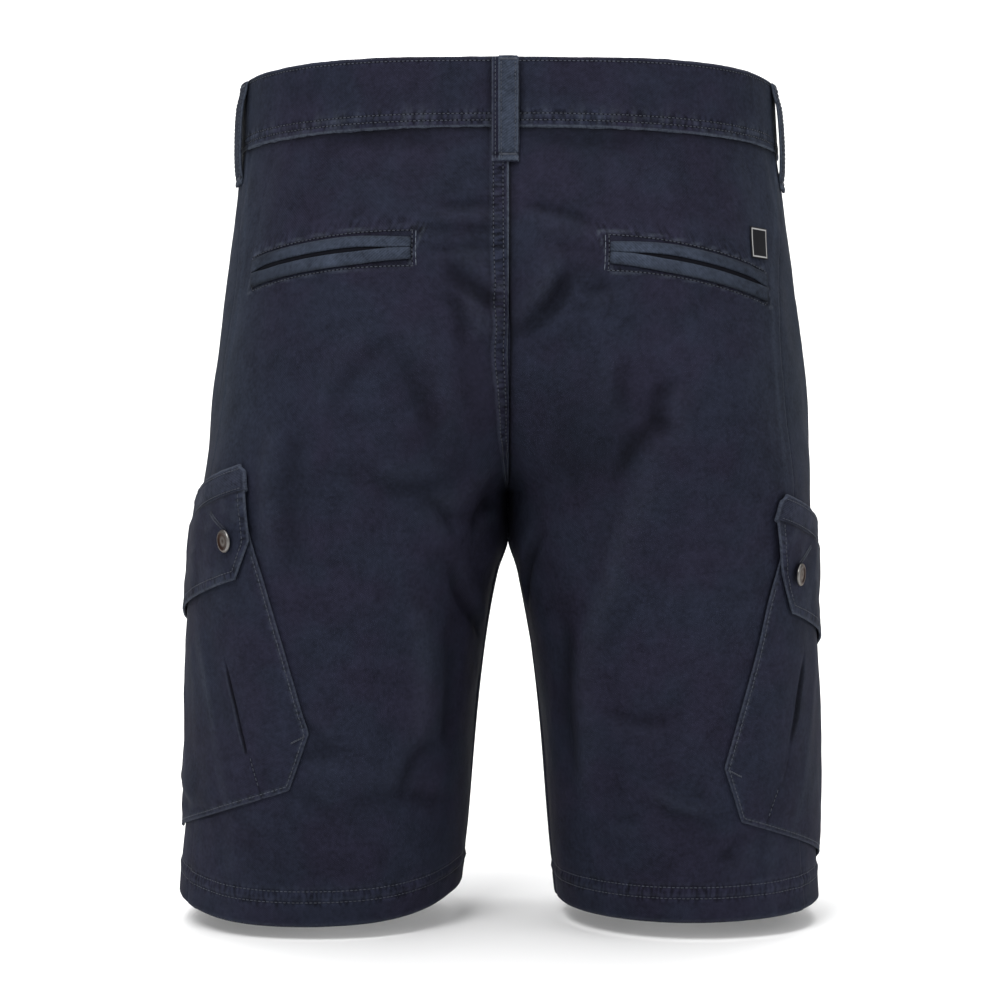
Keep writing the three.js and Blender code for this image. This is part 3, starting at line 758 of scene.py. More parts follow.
def thread(lines, pitch, length, radius, phase=0.5):
    """Stitches along lines of points: a capsule of five sides each, centred every pitch from
    a phase of it onwards.

    Returns points and faces of all of them together.
    """
    starts, ends = [], []
    for line in lines:
        run = np.concatenate([[0], np.cumsum(np.linalg.norm(np.diff(line, axis=0), axis=1))])
        count = max(int(run[-1] / pitch), 1)
        middle = (np.arange(count) + phase) * run[-1] / count
        half = length / 2
        starts.append(np.stack([np.interp(middle - half, run, line[:, k]) for k in range(3)], 1))
        ends.append(np.stack([np.interp(middle + half, run, line[:, k]) for k in range(3)], 1))
    return capsules(np.concatenate(starts), np.concatenate(ends), radius)


def capsules(start, end, radius):
    """A closed spindle from each start to its end: three rings of five between two tips."""
    sides = 5
    along = end - start
    axis = along / np.maximum(np.linalg.norm(along, axis=1, keepdims=True), 1e-9)
    helper = np.where(np.abs(axis[:, 2:3]) > 0.8, [[1.0, 0, 0]], [[0, 0, 1.0]])
    first = np.cross(axis, helper)
    first /= np.linalg.norm(first, axis=1, keepdims=True)
    second = np.cross(axis, first)
    turn = 2 * np.pi * np.arange(sides) / sides
    ring = first[:, None] * np.cos(turn)[None, :, None] + second[:, None] * np.sin(turn)[None, :, None]
    rings = [
        (start + along * share)[:, None] + ring * radius * size
        for share, size in ((0.1, 0.72), (0.5, 1.0), (0.9, 0.72))
    ]
    block = np.concatenate([start[:, None], *rings, end[:, None]], axis=1)
    count = block.shape[1]
    base = (np.arange(len(start)) * count)[:, None]
    j = np.arange(sides)
    k = (j + 1) % sides
    quads = np.concatenate(
        [
            np.stack([1 + r * sides + j, 1 + r * sides + k, 1 + (r + 1) * sides + k, 1 + (r + 1) * sides + j], 1)
            for r in range(2)
        ]
    )
    tips = np.concatenate(
        [
            np.stack([np.zeros(sides, int), 1 + k, 1 + j], 1),
            np.stack([np.full(sides, count - 1), 1 + 2 * sides + j, 1 + 2 * sides + k], 1),
        ]
    )
    quad_faces = (base[:, :, None] + quads[None]).reshape(-1, 4)
    tip_faces = (base[:, :, None] + tips[None]).reshape(-1, 3)
    return block.reshape(-1, 3), [quad_faces, tip_faces]


def revolve(profile, centre, normal, segments):
    """A profile of (radius, height) turned round normal at centre, closed at both poles."""
    helper = np.array([0, 0, 1.0])
    first = np.cross(normal, helper)
    first /= np.linalg.norm(first)
    second = np.cross(normal, first)
    turn = 2 * np.pi * np.arange(segments) / segments
    ring = np.cos(turn)[:, None] * first + np.sin(turn)[:, None] * second
    rings = profile[1:-1, 0, None, None] * ring[None] + profile[1:-1, 1, None, None] * normal
    points = np.concatenate(
        [
            [profile[0, 1] * normal],
            rings.reshape(-1, 3),
            [profile[-1, 1] * normal],
        ]
    )
    count = len(profile) - 2
    j = np.arange(segments)
    k = (j + 1) % segments
    quads = np.concatenate(
        [
            np.stack([1 + r * segments + j, 1 + (r + 1) * segments + j, 1 + (r + 1) * segments + k, 1 + r * segments + k], 1)
            for r in range(count - 1)
        ]
    )
    last = 1 + (count - 1) * segments
    tips = np.concatenate(
        [
            np.stack([np.zeros(segments, int), 1 + j, 1 + k], 1),
            np.stack([np.full(segments, len(points) - 1), last + k, last + j], 1),
        ]
    )
    return centre + points, [quads, tips]


class Value:
    """A socket of a material's node tree, with arithmetic that adds Math nodes."""

    def __init__(self, tree, socket):
        self.tree = tree
        self.socket = socket

    def maths(self, operation, *values):
        return add_node(self.tree, "ShaderNodeMath", {"operation": operation}, dict(enumerate(values)))

    def __add__(self, other):
        return self.maths("ADD", self, other)

    def __radd__(self, other):
        return self.maths("ADD", other, self)

    def __sub__(self, other):
        return self.maths("SUBTRACT", self, other)

    def __rsub__(self, other):
        return self.maths("SUBTRACT", other, self)

    def __mul__(self, other):
        return self.maths("MULTIPLY", self, other)

    def __rmul__(self, other):
        return self.maths("MULTIPLY", other, self)

    def sine(self):
        return self.maths("SINE", self)

    def size(self):
        return self.maths("ABSOLUTE", self)

    def least(self, other):
        return self.maths("MINIMUM", self, other)

    def step(self, low, high):
        """A smooth step from 0 at low to 1 at high."""
        return add_node(
            self.tree,
            "ShaderNodeMapRange",
            {"interpolation_type": "SMOOTHSTEP"},
            {"Value": self, "From Min": low, "From Max": high, "To Min": 0.0, "To Max": 1.0},
        )


def add_node(tree, kind, settings=None, inputs=None, output=0):
    """Adds a node: its settings first, then the values or links of its sockets."""
    made = tree.nodes.new(kind)
    for key, value in (settings or {}).items():
        setattr(made, key, value)
    for key, value in (inputs or {}).items():
        if isinstance(value, Value):
            tree.links.new(value.socket, made.inputs[key])
        else:
            made.inputs[key].default_value = value
    return Value(tree, made.outputs[output])


def mix_colour(tree, factor, a, b):
    return add_node(tree, "ShaderNodeMix", {"data_type": "RGBA"}, {0: factor, 6: a, 7: b}, 2)


def tint(tree, colour, amount):
    colour = colour if isinstance(colour, Value) else colour[:3]
    return add_node(
        tree, "ShaderNodeVectorMath", {"operation": "SCALE"}, {0: colour, "Scale": amount}
    )


def noise(tree, place, scale, detail=2.0, rough=0.5):
    values = {"Vector": place, "Scale": scale, "Detail": detail, "Roughness": rough}
    return add_node(tree, "ShaderNodeTexNoise", None, values)


def parts_of(tree, place):
    """The three numbers of a vector, as values."""
    first = add_node(tree, "ShaderNodeSeparateXYZ", None, {0: place})
    return [Value(tree, socket) for socket in first.socket.node.outputs]


def stretch(tree, place, by):
    """The place with each of its axes scaled."""
    return add_node(tree, "ShaderNodeVectorMath", {"operation": "MULTIPLY"}, {0: place, 1: by})


def attribute(tree, name):
    return add_node(tree, "ShaderNodeAttribute", {"attribute_name": name}, None, 2)


def new_finish(name):
    """A material with an empty shader, its tree and the shader node."""
    material = bpy.data.materials.new(name)
    material.use_nodes = True
    tree = material.node_tree
    return material, tree, tree.nodes["Principled BSDF"]


def twill_finish(name, colour, second, lit_flank, worn_and_highlight, pitch, rib, mottle):
    """Dyed twill: diagonal ribs of the given pitch, blotches in three sizes as uneven dye
    between two tones, a painted sheen that turns the flanks lighter and greener, pale edges
    that are partly worn and partly painted highlight, painted shadows in the seams, creases
    and recesses, and small puckers beside the seams, painted lighter on their crests and
    darker in their hollows."""
    material, tree, shader = new_finish(name)
    place = add_node(tree, "ShaderNodeTexCoord", None, None, "Object")
    cut = add_node(tree, "ShaderNodeUVMap", {"uv_map": "cut"})
    across, down, _ = parts_of(tree, cut)
    turn = 2 * math.pi / (pitch * MM)
    ribs = ((across * 0.62 + down * 0.79) * turn).sine() * 0.5 + 0.5
    slubs = noise(tree, stretch(tree, cut, (1.0, 0.35, 1.0)), 1500.0, 2.0)
    blotch = noise(tree, place, 17.0, 3.0, 0.6)
    patch = noise(tree, place, 75.0, 3.0, 0.65)
    speck = noise(tree, place, 420.0, 2.0, 0.6)
    along = noise(tree, stretch(tree, cut, (1.0, 0.28, 1.0)), 430.0, 1.0, 0.4)
    upright = noise(tree, stretch(tree, cut, (0.28, 1.0, 1.0)), 430.0, 1.0, 0.4)
    # Puckers by the stitches: a bump, and also painted into the colour, lighter on their crests and darker in
    # their hollows, as painted highlight and painted shade.
    pucker = attribute(tree, "pucker") * (along.step(0.3, 0.7) - 0.5)
    pucker = pucker + attribute(tree, "upright") * (upright.step(0.3, 0.7) - 0.5)
    dye = (blotch - 0.5) * 0.5 + (patch - 0.5) * 0.9 + (speck - 0.5) * 1.0
    tone = dye * mottle + (ribs - 0.5) * rib + (slubs - 0.5) * 0.4 + pucker * 0.95 + 1.0
    cast = noise(tree, place, 26.0, 2.0, 0.55).step(0.35, 0.65)
    # Painted sheen: towards the flanks, and most on their upper part, the dye is mixed towards a lighter,
    # greener navy, where light grazes the cloth.
    sideways, _, upwards = parts_of(tree, place)
    outwards = sideways.size().step(0.12, 0.17) * (upwards.step(-0.25, -0.15) * 0.85 + 0.15)
    cast = cast * (1.0 - outwards)
    dye_tones = mix_colour(tree, cast, colour, second)
    dyed = tint(tree, mix_colour(tree, outwards, dye_tones, lit_flank), tone)
    rubbed = noise(tree, place, 620.0, 3.0, 0.7)
    # Pale edges, partly worn cotton and partly painted highlight, and painted highlights on crease ridges, mix
    # the colour towards the pale worn colour.
    wear = attribute(tree, "wear") * (rubbed.step(0.3, 0.62) * 0.75 + 0.25)
    pale = mix_colour(tree, wear, dyed, worn_and_highlight)
    shadow = 1.0 - attribute(tree, "shade") * 0.72
    tree.links.new(tint(tree, pale, shadow).socket, shader.inputs["Base Color"])
    shader.inputs["Roughness"].default_value = 0.88
    shader.inputs["Specular IOR Level"].default_value = 0.08
    height = ribs * 0.5 + slubs * 0.5 + speck * 0.7 + pucker * 2.2
    bumped = add_node(
        tree,
        "ShaderNodeBump",
        None,
        {"Strength": 0.5, "Distance": 0.00022, "Height": height},
    )
    tree.links.new(bumped.socket, shader.inputs["Normal"])
    return material


def thread_finish(name, colour):
    """Cotton thread, lighter and darker from stitch to stitch."""
    material, tree, shader = new_finish(name)
    place = add_node(tree, "ShaderNodeTexCoord", None, None, "Object")
    tone = noise(tree, place, 330.0, 1.0) * 1.3 + 0.35
    tree.links.new(tint(tree, colour, tone).socket, shader.inputs["Base Color"])
    shader.inputs["Roughness"].default_value = 0.8
    return material


def button_finish(name, rim, centre):
    """A dull nickel rim round a copper-brown centre, both a little scratched."""
    material, tree, shader = new_finish(name)
    place = add_node(tree, "ShaderNodeTexCoord", None, None, "Object")
    stain = noise(tree, place, 900.0, 3.0, 0.6)
    sunk = attribute(tree, "centre")
    metal = mix_colour(tree, sunk, rim, centre)
    tree.links.new(tint(tree, metal, stain * 0.5 + 0.75).socket, shader.inputs["Base Color"])
    tree.links.new((stain * 0.25 + 0.22).socket, shader.inputs["Roughness"])
    tree.links.new((1.0 - sunk * 0.7).socket, shader.inputs["Metallic"])
    shader.inputs["Specular IOR Level"].default_value = 0.15
    shader.inputs["Specular Tint"].default_value = (0.45, 0.40, 0.36, 1.0)
    return material


def label_finish(name, colour, border, width, height):
    """A black woven label with a thin pale border just inside its edge."""
    material, tree, shader = new_finish(name)
    cut = add_node(tree, "ShaderNodeUVMap", {"uv_map": "cut"})
    across, down, _ = parts_of(tree, cut)
    sides = across.least(width * MM - across)
    ends = down.least(height * MM - down)
    near = sides.least(ends)
    line = near.step(0.0004, 0.0006) * (1.0 - near.step(0.0012, 0.0014))
    weave = ((across + down) * (2 * math.pi / 0.0005)).sine() * 0.12 + 1.0
    tree.links.new(
        tint(tree, mix_colour(tree, line, colour, border), weave).socket,
        shader.inputs["Base Color"],
    )
    shader.inputs["Roughness"].default_value = 0.7
    shader.inputs["Specular IOR Level"].default_value = 0.1
    return material


def plain_finish(name, colour, roughness):
    material, tree, shader = new_finish(name)
    place = add_node(tree, "ShaderNodeTexCoord", None, None, "Object")
    tone = noise(tree, place, 3.0, 1.0) * 0.04 + 0.98
    tree.links.new(tint(tree, colour, tone).socket, shader.inputs["Base Color"])
    shader.inputs["Roughness"].default_value = roughness
    shader.inputs["Specular IOR Level"].default_value = 0.1
    return material


def colour_property(name, description, default):
    return FloatVectorProperty(
        name=name,
        description=description,
        subtype="COLOR",
        size=4,
        min=0.0,
        max=1.0,
        default=default,
    )


class ClothSettings(bpy.types.PropertyGroup):
    """Colours and sizes of the cloth and its sewing."""

    navy: colour_property("Navy", "Dyed cotton twill", (0.0114, 0.0136, 0.0244, 1.0))
    navy_warm: colour_property("Second navy", "Warmer dye in blotches", (0.0122, 0.0120, 0.0230, 1.0))
    # Painted sheen: the lighter, greener navy mixed in on the flanks, where light grazes the cloth.
    navy_lit_flank: colour_property("Navy at the sides", "Faded dye at the sides", (0.0158, 0.0204, 0.0322, 1.0))
    # Pale colour of worn edges, also used for painted highlights on edges and crease ridges.
    worn_and_highlight: colour_property("Worn edge", "Cotton where the dye is rubbed off", (0.070, 0.083, 0.108, 1.0))
    strip: colour_property("Strip", "Coarse twill on the flaps", (0.0160, 0.0178, 0.0300, 1.0))
    tape: colour_property("Tape", "Lighter coarse twill", (0.0255, 0.0322, 0.0485, 1.0))
    thread: colour_property("Thread", "Sewing thread", (0.034, 0.040, 0.056, 1.0))
    # Painted shadow: near-black cloth for the slits of the back pockets and the dimples between stitches.
    painted_shadow: colour_property("Lining", "Cloth in the depth of a slit", (0.0040, 0.0044, 0.0072, 1.0))
    label: colour_property("Label", "Black woven label", (0.006, 0.006, 0.008, 1.0))
    border: colour_property("Label border", "Pale line round the label", (0.30, 0.30, 0.30, 1.0))
    nickel: colour_property("Button rim", "Dull nickel", (0.165, 0.160, 0.155, 1.0))
    copper: colour_property("Button centre", "Copper brown", (0.022, 0.011, 0.008, 1.0))
    crease_depth: FloatProperty(
        name="Crease depth",
        description="Depth of the creases as a share of the modelled ones",
        default=1.0,
        min=0.0,
        max=2.0,
        subtype="FACTOR",
    )
    stitch_pitch: FloatProperty(
        name="Stitch pitch",
        description="Length from one stitch to the next, in millimetres",
        default=2.5,
        min=1.5,
        max=6.0,
    )
    thread_radius: FloatProperty(
        name="Thread radius",
        description="Half the thread's thickness, in millimetres",
        default=0.26,
        min=0.1,
        max=0.6,
    )


class StageSettings(bpy.types.PropertyGroup):
    """Floor, lights and camera."""

    floor: colour_property("Floor", "Plain pale floor and backdrop", (0.95, 0.95, 0.95, 1.0))
    lens: FloatProperty(
        name="Lens",
        description="Focal length of the camera",
        default=90.0,
        min=10.0,
        max=300.0,
        unit="CAMERA",
    )
    distance: FloatProperty(
        name="Distance",
        description="From the garment's middle plane to the camera",
        default=1.5,
        min=0.5,
        max=10.0,
        unit="LENGTH",
    )
    key: FloatProperty(
        name="Key light",
        description="Power of the large light above the camera",
        default=42.0,
        min=0.0,
        max=500.0,
        unit="POWER",
    )
    fill: FloatProperty(
        name="Fill light",
        description="Power of the light on the other side",
        default=12.0,
        min=0.0,
        max=500.0,
        unit="POWER",
    )
    top: FloatProperty(
        name="Top light",
        description="Power of the light overhead",
        default=30.0,
        min=0.0,
        max=500.0,
        unit="POWER",
    )
    behind: FloatProperty(
        name="Backdrop light",
        description="Power of the light on the backdrop",
        default=70.0,
        min=0.0,
        max=500.0,
        unit="POWER",
    )
    sky: FloatProperty(
        name="Sky",
        description="Strength of the even light from all round",
        default=0.47,
        min=0.0,
        max=5.0,
    )


FINISHES = {}
HALVES = {}


def finish(kind):
    """The material of that kind, made once from the scene's colours."""
    if kind in FINISHES:
        return FINISHES[kind]
    c = bpy.context.scene.shorts_cloth
    if kind == "twill":
        colours = (tuple(c.navy), tuple(c.navy_warm), tuple(c.navy_lit_flank), tuple(c.worn_and_highlight))
        made = twill_finish("navy_twill", *colours, 0.95, 0.2, 1.0)
    elif kind == "tape":
        colours = (tuple(c.tape), tuple(c.tape), tuple(c.tape), tuple(c.worn_and_highlight))
        made = twill_finish("tape_twill", *colours, 1.25, 0.34, 1.3)
    elif kind == "strip":
        colours = (tuple(c.strip), tuple(c.strip), tuple(c.tape), tuple(c.worn_and_highlight))
        made = twill_finish("strip_twill", *colours, 1.25, 0.4, 1.5)
    elif kind == "thread":
        made = thread_finish("cotton_thread", tuple(c.thread))
    elif kind == "edge":
        made = thread_finish("worn_edge", tuple(c.worn_and_highlight))
    elif kind == "painted_shadow":
        made = plain_finish("painted_shadow_cloth", tuple(c.painted_shadow), 0.95)
    elif kind == "button":
        made = button_finish("button_metal", tuple(c.nickel), tuple(c.copper))
    else:
        size = (LABEL["width"], LABEL["height"])
        made = label_finish("woven_label", tuple(c.label), tuple(c.border), *size)
    FINISHES[kind] = made
    return made


def panel_heights():
    """Even rows, with extra ones just above the crotch where the tube closes."""
    above = np.linspace(PANEL_TOP, CROTCH, 118)[:-1]
    near = CROTCH + np.array(CORNER_STEPS)[::-1]
    leg = np.linspace(CROTCH, HEM + 30, 94)
    hem = np.linspace(HEM + 30, HEM, 19)[1:]
    return np.concatenate([above[above > CROTCH + 1.5], near, leg, hem])


def panel_columns(half, way, z, outer, inner):
    """w of each column at each height: close together at both seams, and between them the
    outer ones keep their place from row to row while the inner ones share what is left."""
    close = np.array([0, 0.8, 1.8, 3.0, 4.4, 5.8, 7.2, 8.4, 9.2, 10.2, 12.0])
    tight = np.array([0, 0.5, 1.1, 1.9, 2.7, 3.5, 4.5, 5.6, 6.7, 7.7, 8.5, 9.2, 9.9, 11.0, 13.0])
    length = half.length(z, way)
    _, centre, across, _, _, _ = half.section(z)
    edge = np.where(centre - across > GAP / 2, GAP / 2, 0)
    seam = half.seam(z) + way * GAP / 2
    end = way * (length - edge)
    level = np.maximum(z, CROTCH) + 10
    knee = way * np.minimum(0.75 * half.length(level, way), 0.7 * length)
    first = seam[:, None] + way * close[None]
    last = end[:, None] - way * tight[None, ::-1]
    share = np.linspace(0, 1, outer + 1)[None, 1:]
    rest = np.linspace(0, 1, inner + 1)[None, 1:-1]
    middle = first[:, -1:] + (knee[:, None] - first[:, -1:]) * share
    far = knee[:, None] + (last[:, :1] - knee[:, None]) * rest
    return np.concatenate([first, middle, far, last], axis=1)


def sew_panel(name, side, way, outer, inner):
    half = HALVES[side]
    z = panel_heights()
    w = panel_columns(half, way, z, outer, inner)
    z = np.broadcast_to(z[:, None], w.shape)
    lift, marks = panel_marks(half, way, w, z)
    thick = CLOTH + (HEM_WALL - 0.5 - CLOTH) * smooth((HEM + 20.5 - z) / 1.5)
    outside = half.at(w, z, lift)
    inside = half.at(w, z, -thick)
    uv = np.stack([w + 400 * way + 800 * side, z], -1)
    piece = sew(name, outside, inside, uv, finish("twill"), "cloth", [name], rim=0.3, **marks)


def sew_seam_tape(name, at_back):
    """The seam's turned-in cloth, inside the middle of the back or of the front."""
    z = np.linspace(PANEL_TOP - 0.5, CROTCH - 1.0, 70)[:, None]
    u = np.array([-1, -0.86, -0.6, -0.3, -0.08, 0.08, 0.3, 0.6, 0.86, 1.0])[None]
    across = SEAM_TAPE / 2 * u
    s = across + 0 * z if at_back else along_waist(z, 1) + across
    z = z + 0 * across
    outside = around(s, z, -CLOTH + 0.1)
    inside = around(s, z, -CLOTH - 0.8)
    above = 1.8 * smooth((-176 - z) / 20)
    outside[..., 2] += above
    inside[..., 2] += above
    uv = np.stack([s + 50, z], -1)
    piece = sew(name, outside, inside, uv, finish("twill"), "cloth", upright=np.array(0.5))


class SewPanels(bpy.types.Operator):
    """Two back and two front panels, from the waistband's lower edge to the turned hems"""

    bl_idname = "shorts.sew_panels"
    bl_label = "Sew panels"

    def execute(self, context):
        HALVES.update({1: Half(1), -1: Half(-1)})
        sew_panel("back_left", 1, 1, 62, 40)
        sew_panel("back_right", -1, 1, 62, 40)
        sew_panel("front_left", 1, -1, 58, 30)
        sew_panel("front_right", -1, -1, 58, 30)
        sew_seam_tape("seam_back_inside", True)
        sew_seam_tape("seam_front_inside", False)
        return {"FINISHED"}


def band_lift(s, z):
    """The waistband's own relief: grooves at its rows of stitches, a puffed edge below them,
    and small gathers that fade towards its middle."""
    low = z + BAND_HEIGHT / 2
    top = BAND_HEIGHT / 2 - z
    lift = -0.3 * rows_at(z, BAND_ROWS, 0.9)
    lift = lift + 0.3 * bump(low - 5.4, 1.4) + 0.15 * bump(low - 1.4, 1.2)
    gather = 0.28 * ripple(s / 3.1, low / 15, 31) + 0.22 * ripple(s / 7.5, low / 20, 32)
    lift = lift + gather * (bump(low - 4, 10) + 0.8 * bump(top - 2, 9))
    return lift + 0.35 * ripple(s / 28, z / 24, 33)


def band_height(s, z):
    """The band is a little lower at the middle of the back, where the loop holds it."""
    low = -BAND_HEIGHT / 2
    return low + (z - low) * (1 - BAND_DIP / BAND_HEIGHT * bump(s, 85))


def band_ramp(s, z):
    """How far the lapped end stands off, over the other end at the middle of the front."""
    left = along_waist(z, 1)
    start, stop = LAP_RAMP
    return LAP_RISE * smooth((s - left + start) / (start - stop))


def on_band(s, z, extra=0.0):
    s, z = np.broadcast_arrays(np.asarray(s, float), np.asarray(z, float))
    return around(s, z, BAND_PROUD + band_lift(s, z) + band_ramp(s, z) + extra)


class SewWaistband(bpy.types.Operator):
    """The waistband, one doubled strip lapped left over right at the front"""

    bl_idname = "shorts.sew_waistband"
    bl_label = "Sew waistband"

    def execute(self, context):
        half = BAND_HEIGHT / 2
        down = np.array([0, 0.6, 1.4, 2.4, 3.4, 4.8])
        z = np.concatenate([half - down, np.linspace(half - 6.5, -half + 9, 14), -half + np.array([7.9, 7, 6, 5, 4, 3.3, 2.6, 1.8, 0.9, 0])])
        u = np.linspace(0, 1, 441)[None]
        left = along_waist(z, 1)[:, None]
        right = along_waist(z, -1)[:, None]
        s = -right - LAP_UNDER + (left + right + LAP_UNDER + LAP_OVER) * u
        z = band_height(s, np.broadcast_to(z[:, None], s.shape))
        lift = band_lift(s, z)
        ramp = band_ramp(s, z)
        outside = around(s, z, BAND_PROUD + lift + ramp)
        inside = around(s, z, BAND_PROUD - BAND_WALL + ramp)
        low = z + half
        # Pale band edges: partly worn cotton, partly a painted highlight where the edges catch the light.
        wear = 0.62 * bump(low, 0.5) + 0.16 * bump(half - z, 0.9) + 0.06 * bump(low - 5.6, 1.2)
        wear = wear + 0.25 * smooth(ripple(s / 2.6, low / 9, 34) * 2) * bump(low - 5, 6)
        shade = 0.3 * rows_at(z, BAND_ROWS, 0.7)
        for name in LOOPS:
            beside = np.abs(s - loop_centre(name, z)) - LOOP_WIDTH / 2
            shade = shade + 0.55 * bump(beside - 0.6, 1.5)
        pucker = band_mask(low, 1.0, 9.0) + 0.6 * band_mask(half - z, 1.0, 4.0)
        uv = np.stack([s, z], -1)
        marks = {"wear": wear, "shade": shade, "pucker": pucker}
        name = "waistband"
        piece = sew(name, outside, inside, uv, finish("twill"), "cloth", [name], **marks)
        return {"FINISHED"}


def loop_centre(name, z):
    side, start = LOOPS[name]
    if side == 0:
        return np.full(np.shape(z), BACK_LOOP_SHIFT)
    return side * (HALVES[side].length(z, 1) - start)


def on_loop(name, across, z, lift):
    across, z, lift = np.broadcast_arrays(*[np.asarray(v, float) for v in (across, z, lift)])
    rise = curve(LOOP_RISE[:, 0], LOOP_RISE[:, 1], z)
    return around(loop_centre(name, z) + across, z, rise + lift)


def sew_strap(name, loop, width, thick, top, bottom, seat, kind, slot, key, shift=0.0):
    """A strap down the waistband: two bowed edges, and at its foot the turned end, raised
    below the bar tack that holds it."""
    z = np.concatenate([np.linspace(top, bottom + 6, 34), bottom + np.array([5, 4.2, 3.5, 2.8, 2.0, 1.2, 0.5, 0])])[:, None]
    u = np.array([0, 0.03, 0.07, 0.12, 0.18, 0.3, 0.4, 0.5, 0.6, 0.7, 0.82, 0.88, 0.93, 0.97, 1.0])[None]
    across = width * (u - 0.5)
    edge = width / 2 - np.abs(across)
    low = z - bottom
    crown = 0.26 * smooth(edge / 3) - 0.2 * bump(edge - 1.7, 0.7)
    crown = crown + 0.16 * ripple(z / 2.8, across / 5 + 20, 41)
    crown = crown - 0.55 * bump(low - 3.8, 1.0) + 0.35 * bump(low - 1.6, 1.1)
    outside = on_loop(loop, across + shift, z, seat + thick - 0.1 + crown)
    inside = on_loop(loop, across + shift, z, seat)
    wear = 0.5 * bump(edge, 0.5) + 0.45 * bump(low - 1.0, 0.9)
    shade = 0.7 * bump(low - 3.9, 0.8) + 0 * edge
    pucker = 0.5 * band_mask(edge, 0.8, 2.6) + 0 * z
    uv = np.stack(np.broadcast_arrays(across + 50, z), -1)
    marks = {"wear": wear, "shade": shade, "upright": pucker}
    piece = sew(name, outside, inside, uv, finish(kind), slot, [name], 0.2, **marks)


class SewBeltLoops(bpy.types.Operator):
    """Five belt loops over the waistband, the back one with lighter tape on it"""

    bl_idname = "shorts.sew_belt_loops"
    bl_label = "Sew belt loops"

    def execute(self, context):
        for name in LOOPS:
            size = (LOOP_WIDTH - 0.8, LOOP_WALL, LOOP_TOP - (name == "loop_back"), LOOP_FOOT[name], 0.0)
            sew_strap(name, name, *size, "twill", "cloth", "loop")
        size = (TAPE_WIDTH - 0.6, TAPE_WALL, TAPE_TOP, LOOP_FOOT["loop_back"] + 0.3, LOOP_WALL + GAP)
        name = "loop_back_tape"
        sew_strap(name, "loop_back", *size, "tape", "tape", name, TAPE_SHIFT)
        return {"FINISHED"}


def jet_point(jet, share, up, lift):
    share, up, lift = np.broadcast_arrays(*[np.asarray(v, float) for v in (share, up, lift)])
    side, inner, outer = jet[:3]
    w = inner + (outer - inner) * share - WELT_SHEAR * up
    return HALVES[side].at(w, slit_height(jet, share) + up, lift)


class SewBackPockets(bpy.types.Operator):
    """Jetted back pockets: two lips of lighter twill, and a near-black sheet of painted shadow in the slit
    between them
    """

    bl_idname = "shorts.sew_back_pockets"
    bl_label = "Sew back pockets"

    def execute(self, context):
        for name, jet in JETS.items():
            for lip, (low, high) in WELTS.items():
                share = np.linspace(0, 1, 104)[None]
                v = np.array([0, 0.1, 0.22, 0.36, 0.5, 0.64, 0.78, 0.9, 1.0])[:, None]
                gape = 1.3 * smooth((share - 0.04) / 0.3) * smooth((1.02 - share) / 0.16) - 0.55
                drawn = WELT_DRAWN * (1 - smooth((share + 0.05) / 0.45))
                lower = low + (gape if lip == "upper" else drawn)
                upper = high - (gape if lip == "lower" else drawn)
                up = upper + (lower - upper) * v
                crown = WELT_WALL * (1 + 0.3 * np.sin(np.pi * v) ** 0.6)
                crown = crown + 0.1 * ripple(share * 34, v * 2 + 5, 51)
                outside = jet_point(jet, share, up, SEAT + crown)
                inside = jet_point(jet, share, up, SEAT)
                slit = np.abs(up) - 0.9
                outer = np.abs(up - (upper if lip == "upper" else lower))
                wear = 0.2 * bump(outer, 0.5) + 0.15 * bump(slit, 0.7)
                ends = 103 * np.minimum(share, 1 - share)
                shade = 0.4 * bump(outer, 0.9) + 0.3 * bump(ends, 1.2)
                shade = shade + 0.42 * smooth((share - 0.45) / 0.5)
                uv = np.stack(np.broadcast_arrays(share * 103 + 20, up + 40), -1)
                node = f"welt_{lip}_{name}"
                marks = {"wear": wear, "shade": shade}
                piece = sew(node, outside, inside, uv, finish("tape"), "tape", [node], **marks)
            # A near-black sheet of painted shadow in the slit, where the lips part.
            share = np.linspace(0.005, 0.995, 60)[None]
            up = np.linspace(2.4, -2.4, 3)[:, None]
            outside = jet_point(jet, share, up, 0.4)
            inside = jet_point(jet, share, up, 0.2)
            uv = np.stack(np.broadcast_arrays(share * 100, up), -1)
            piece = sew(f"slit_{name}", outside, inside, uv, finish("painted_shadow"), "cloth")
        return {"FINISHED"}


class SewLabel(bpy.types.Operator):
    """A small bare label by the right back pocket"""

    bl_idname = "shorts.sew_label"
    bl_label = "Sew label"

    def execute(self, context):
        half = HALVES[LABEL["side"]]
        u = np.array([0, 0.06, 0.2, 0.4, 0.6, 0.8, 0.94, 1.0])[None]
        v = np.array([0, 0.05, 0.2, 0.4, 0.6, 0.8, 0.95, 1.0])[:, None]
        up = LABEL["height"] * (0.5 - v)
        w = LABEL["w"] + LABEL["width"] * (u - 0.5) - LABEL["shear"] * up
        z = LABEL["z"] + up + 0 * u
        outside = half.at(w, z, SEAT + LABEL_WALL)
        inside = half.at(w, z, SEAT)
        uv = np.stack(np.broadcast_arrays(LABEL["width"] * u, LABEL["height"] * v), -1)
        piece = sew("label", outside, inside, uv, finish("label"), "label", ["label"])
        return {"FINISHED"}


def fly_point(share, b, lift):
    share, b, lift = np.broadcast_arrays(*[np.asarray(v, float) for v in (share, b, lift)])
    turn = np.clip((b - FLY_STRAIGHT) / (FLY_DROP - FLY_STRAIGHT), 0, 1)
    reach = FLY_FOOT + (FLY_WIDTH - FLY_FOOT) * np.sqrt(np.maximum(1 - turn**2, 0))
    z = PANEL_TOP - b
    whole = along_waist(z, 1)
    return around(whole + FLY_PAST - (FLY_PAST + reach) * share, z, WIDE_SEAT + lift)


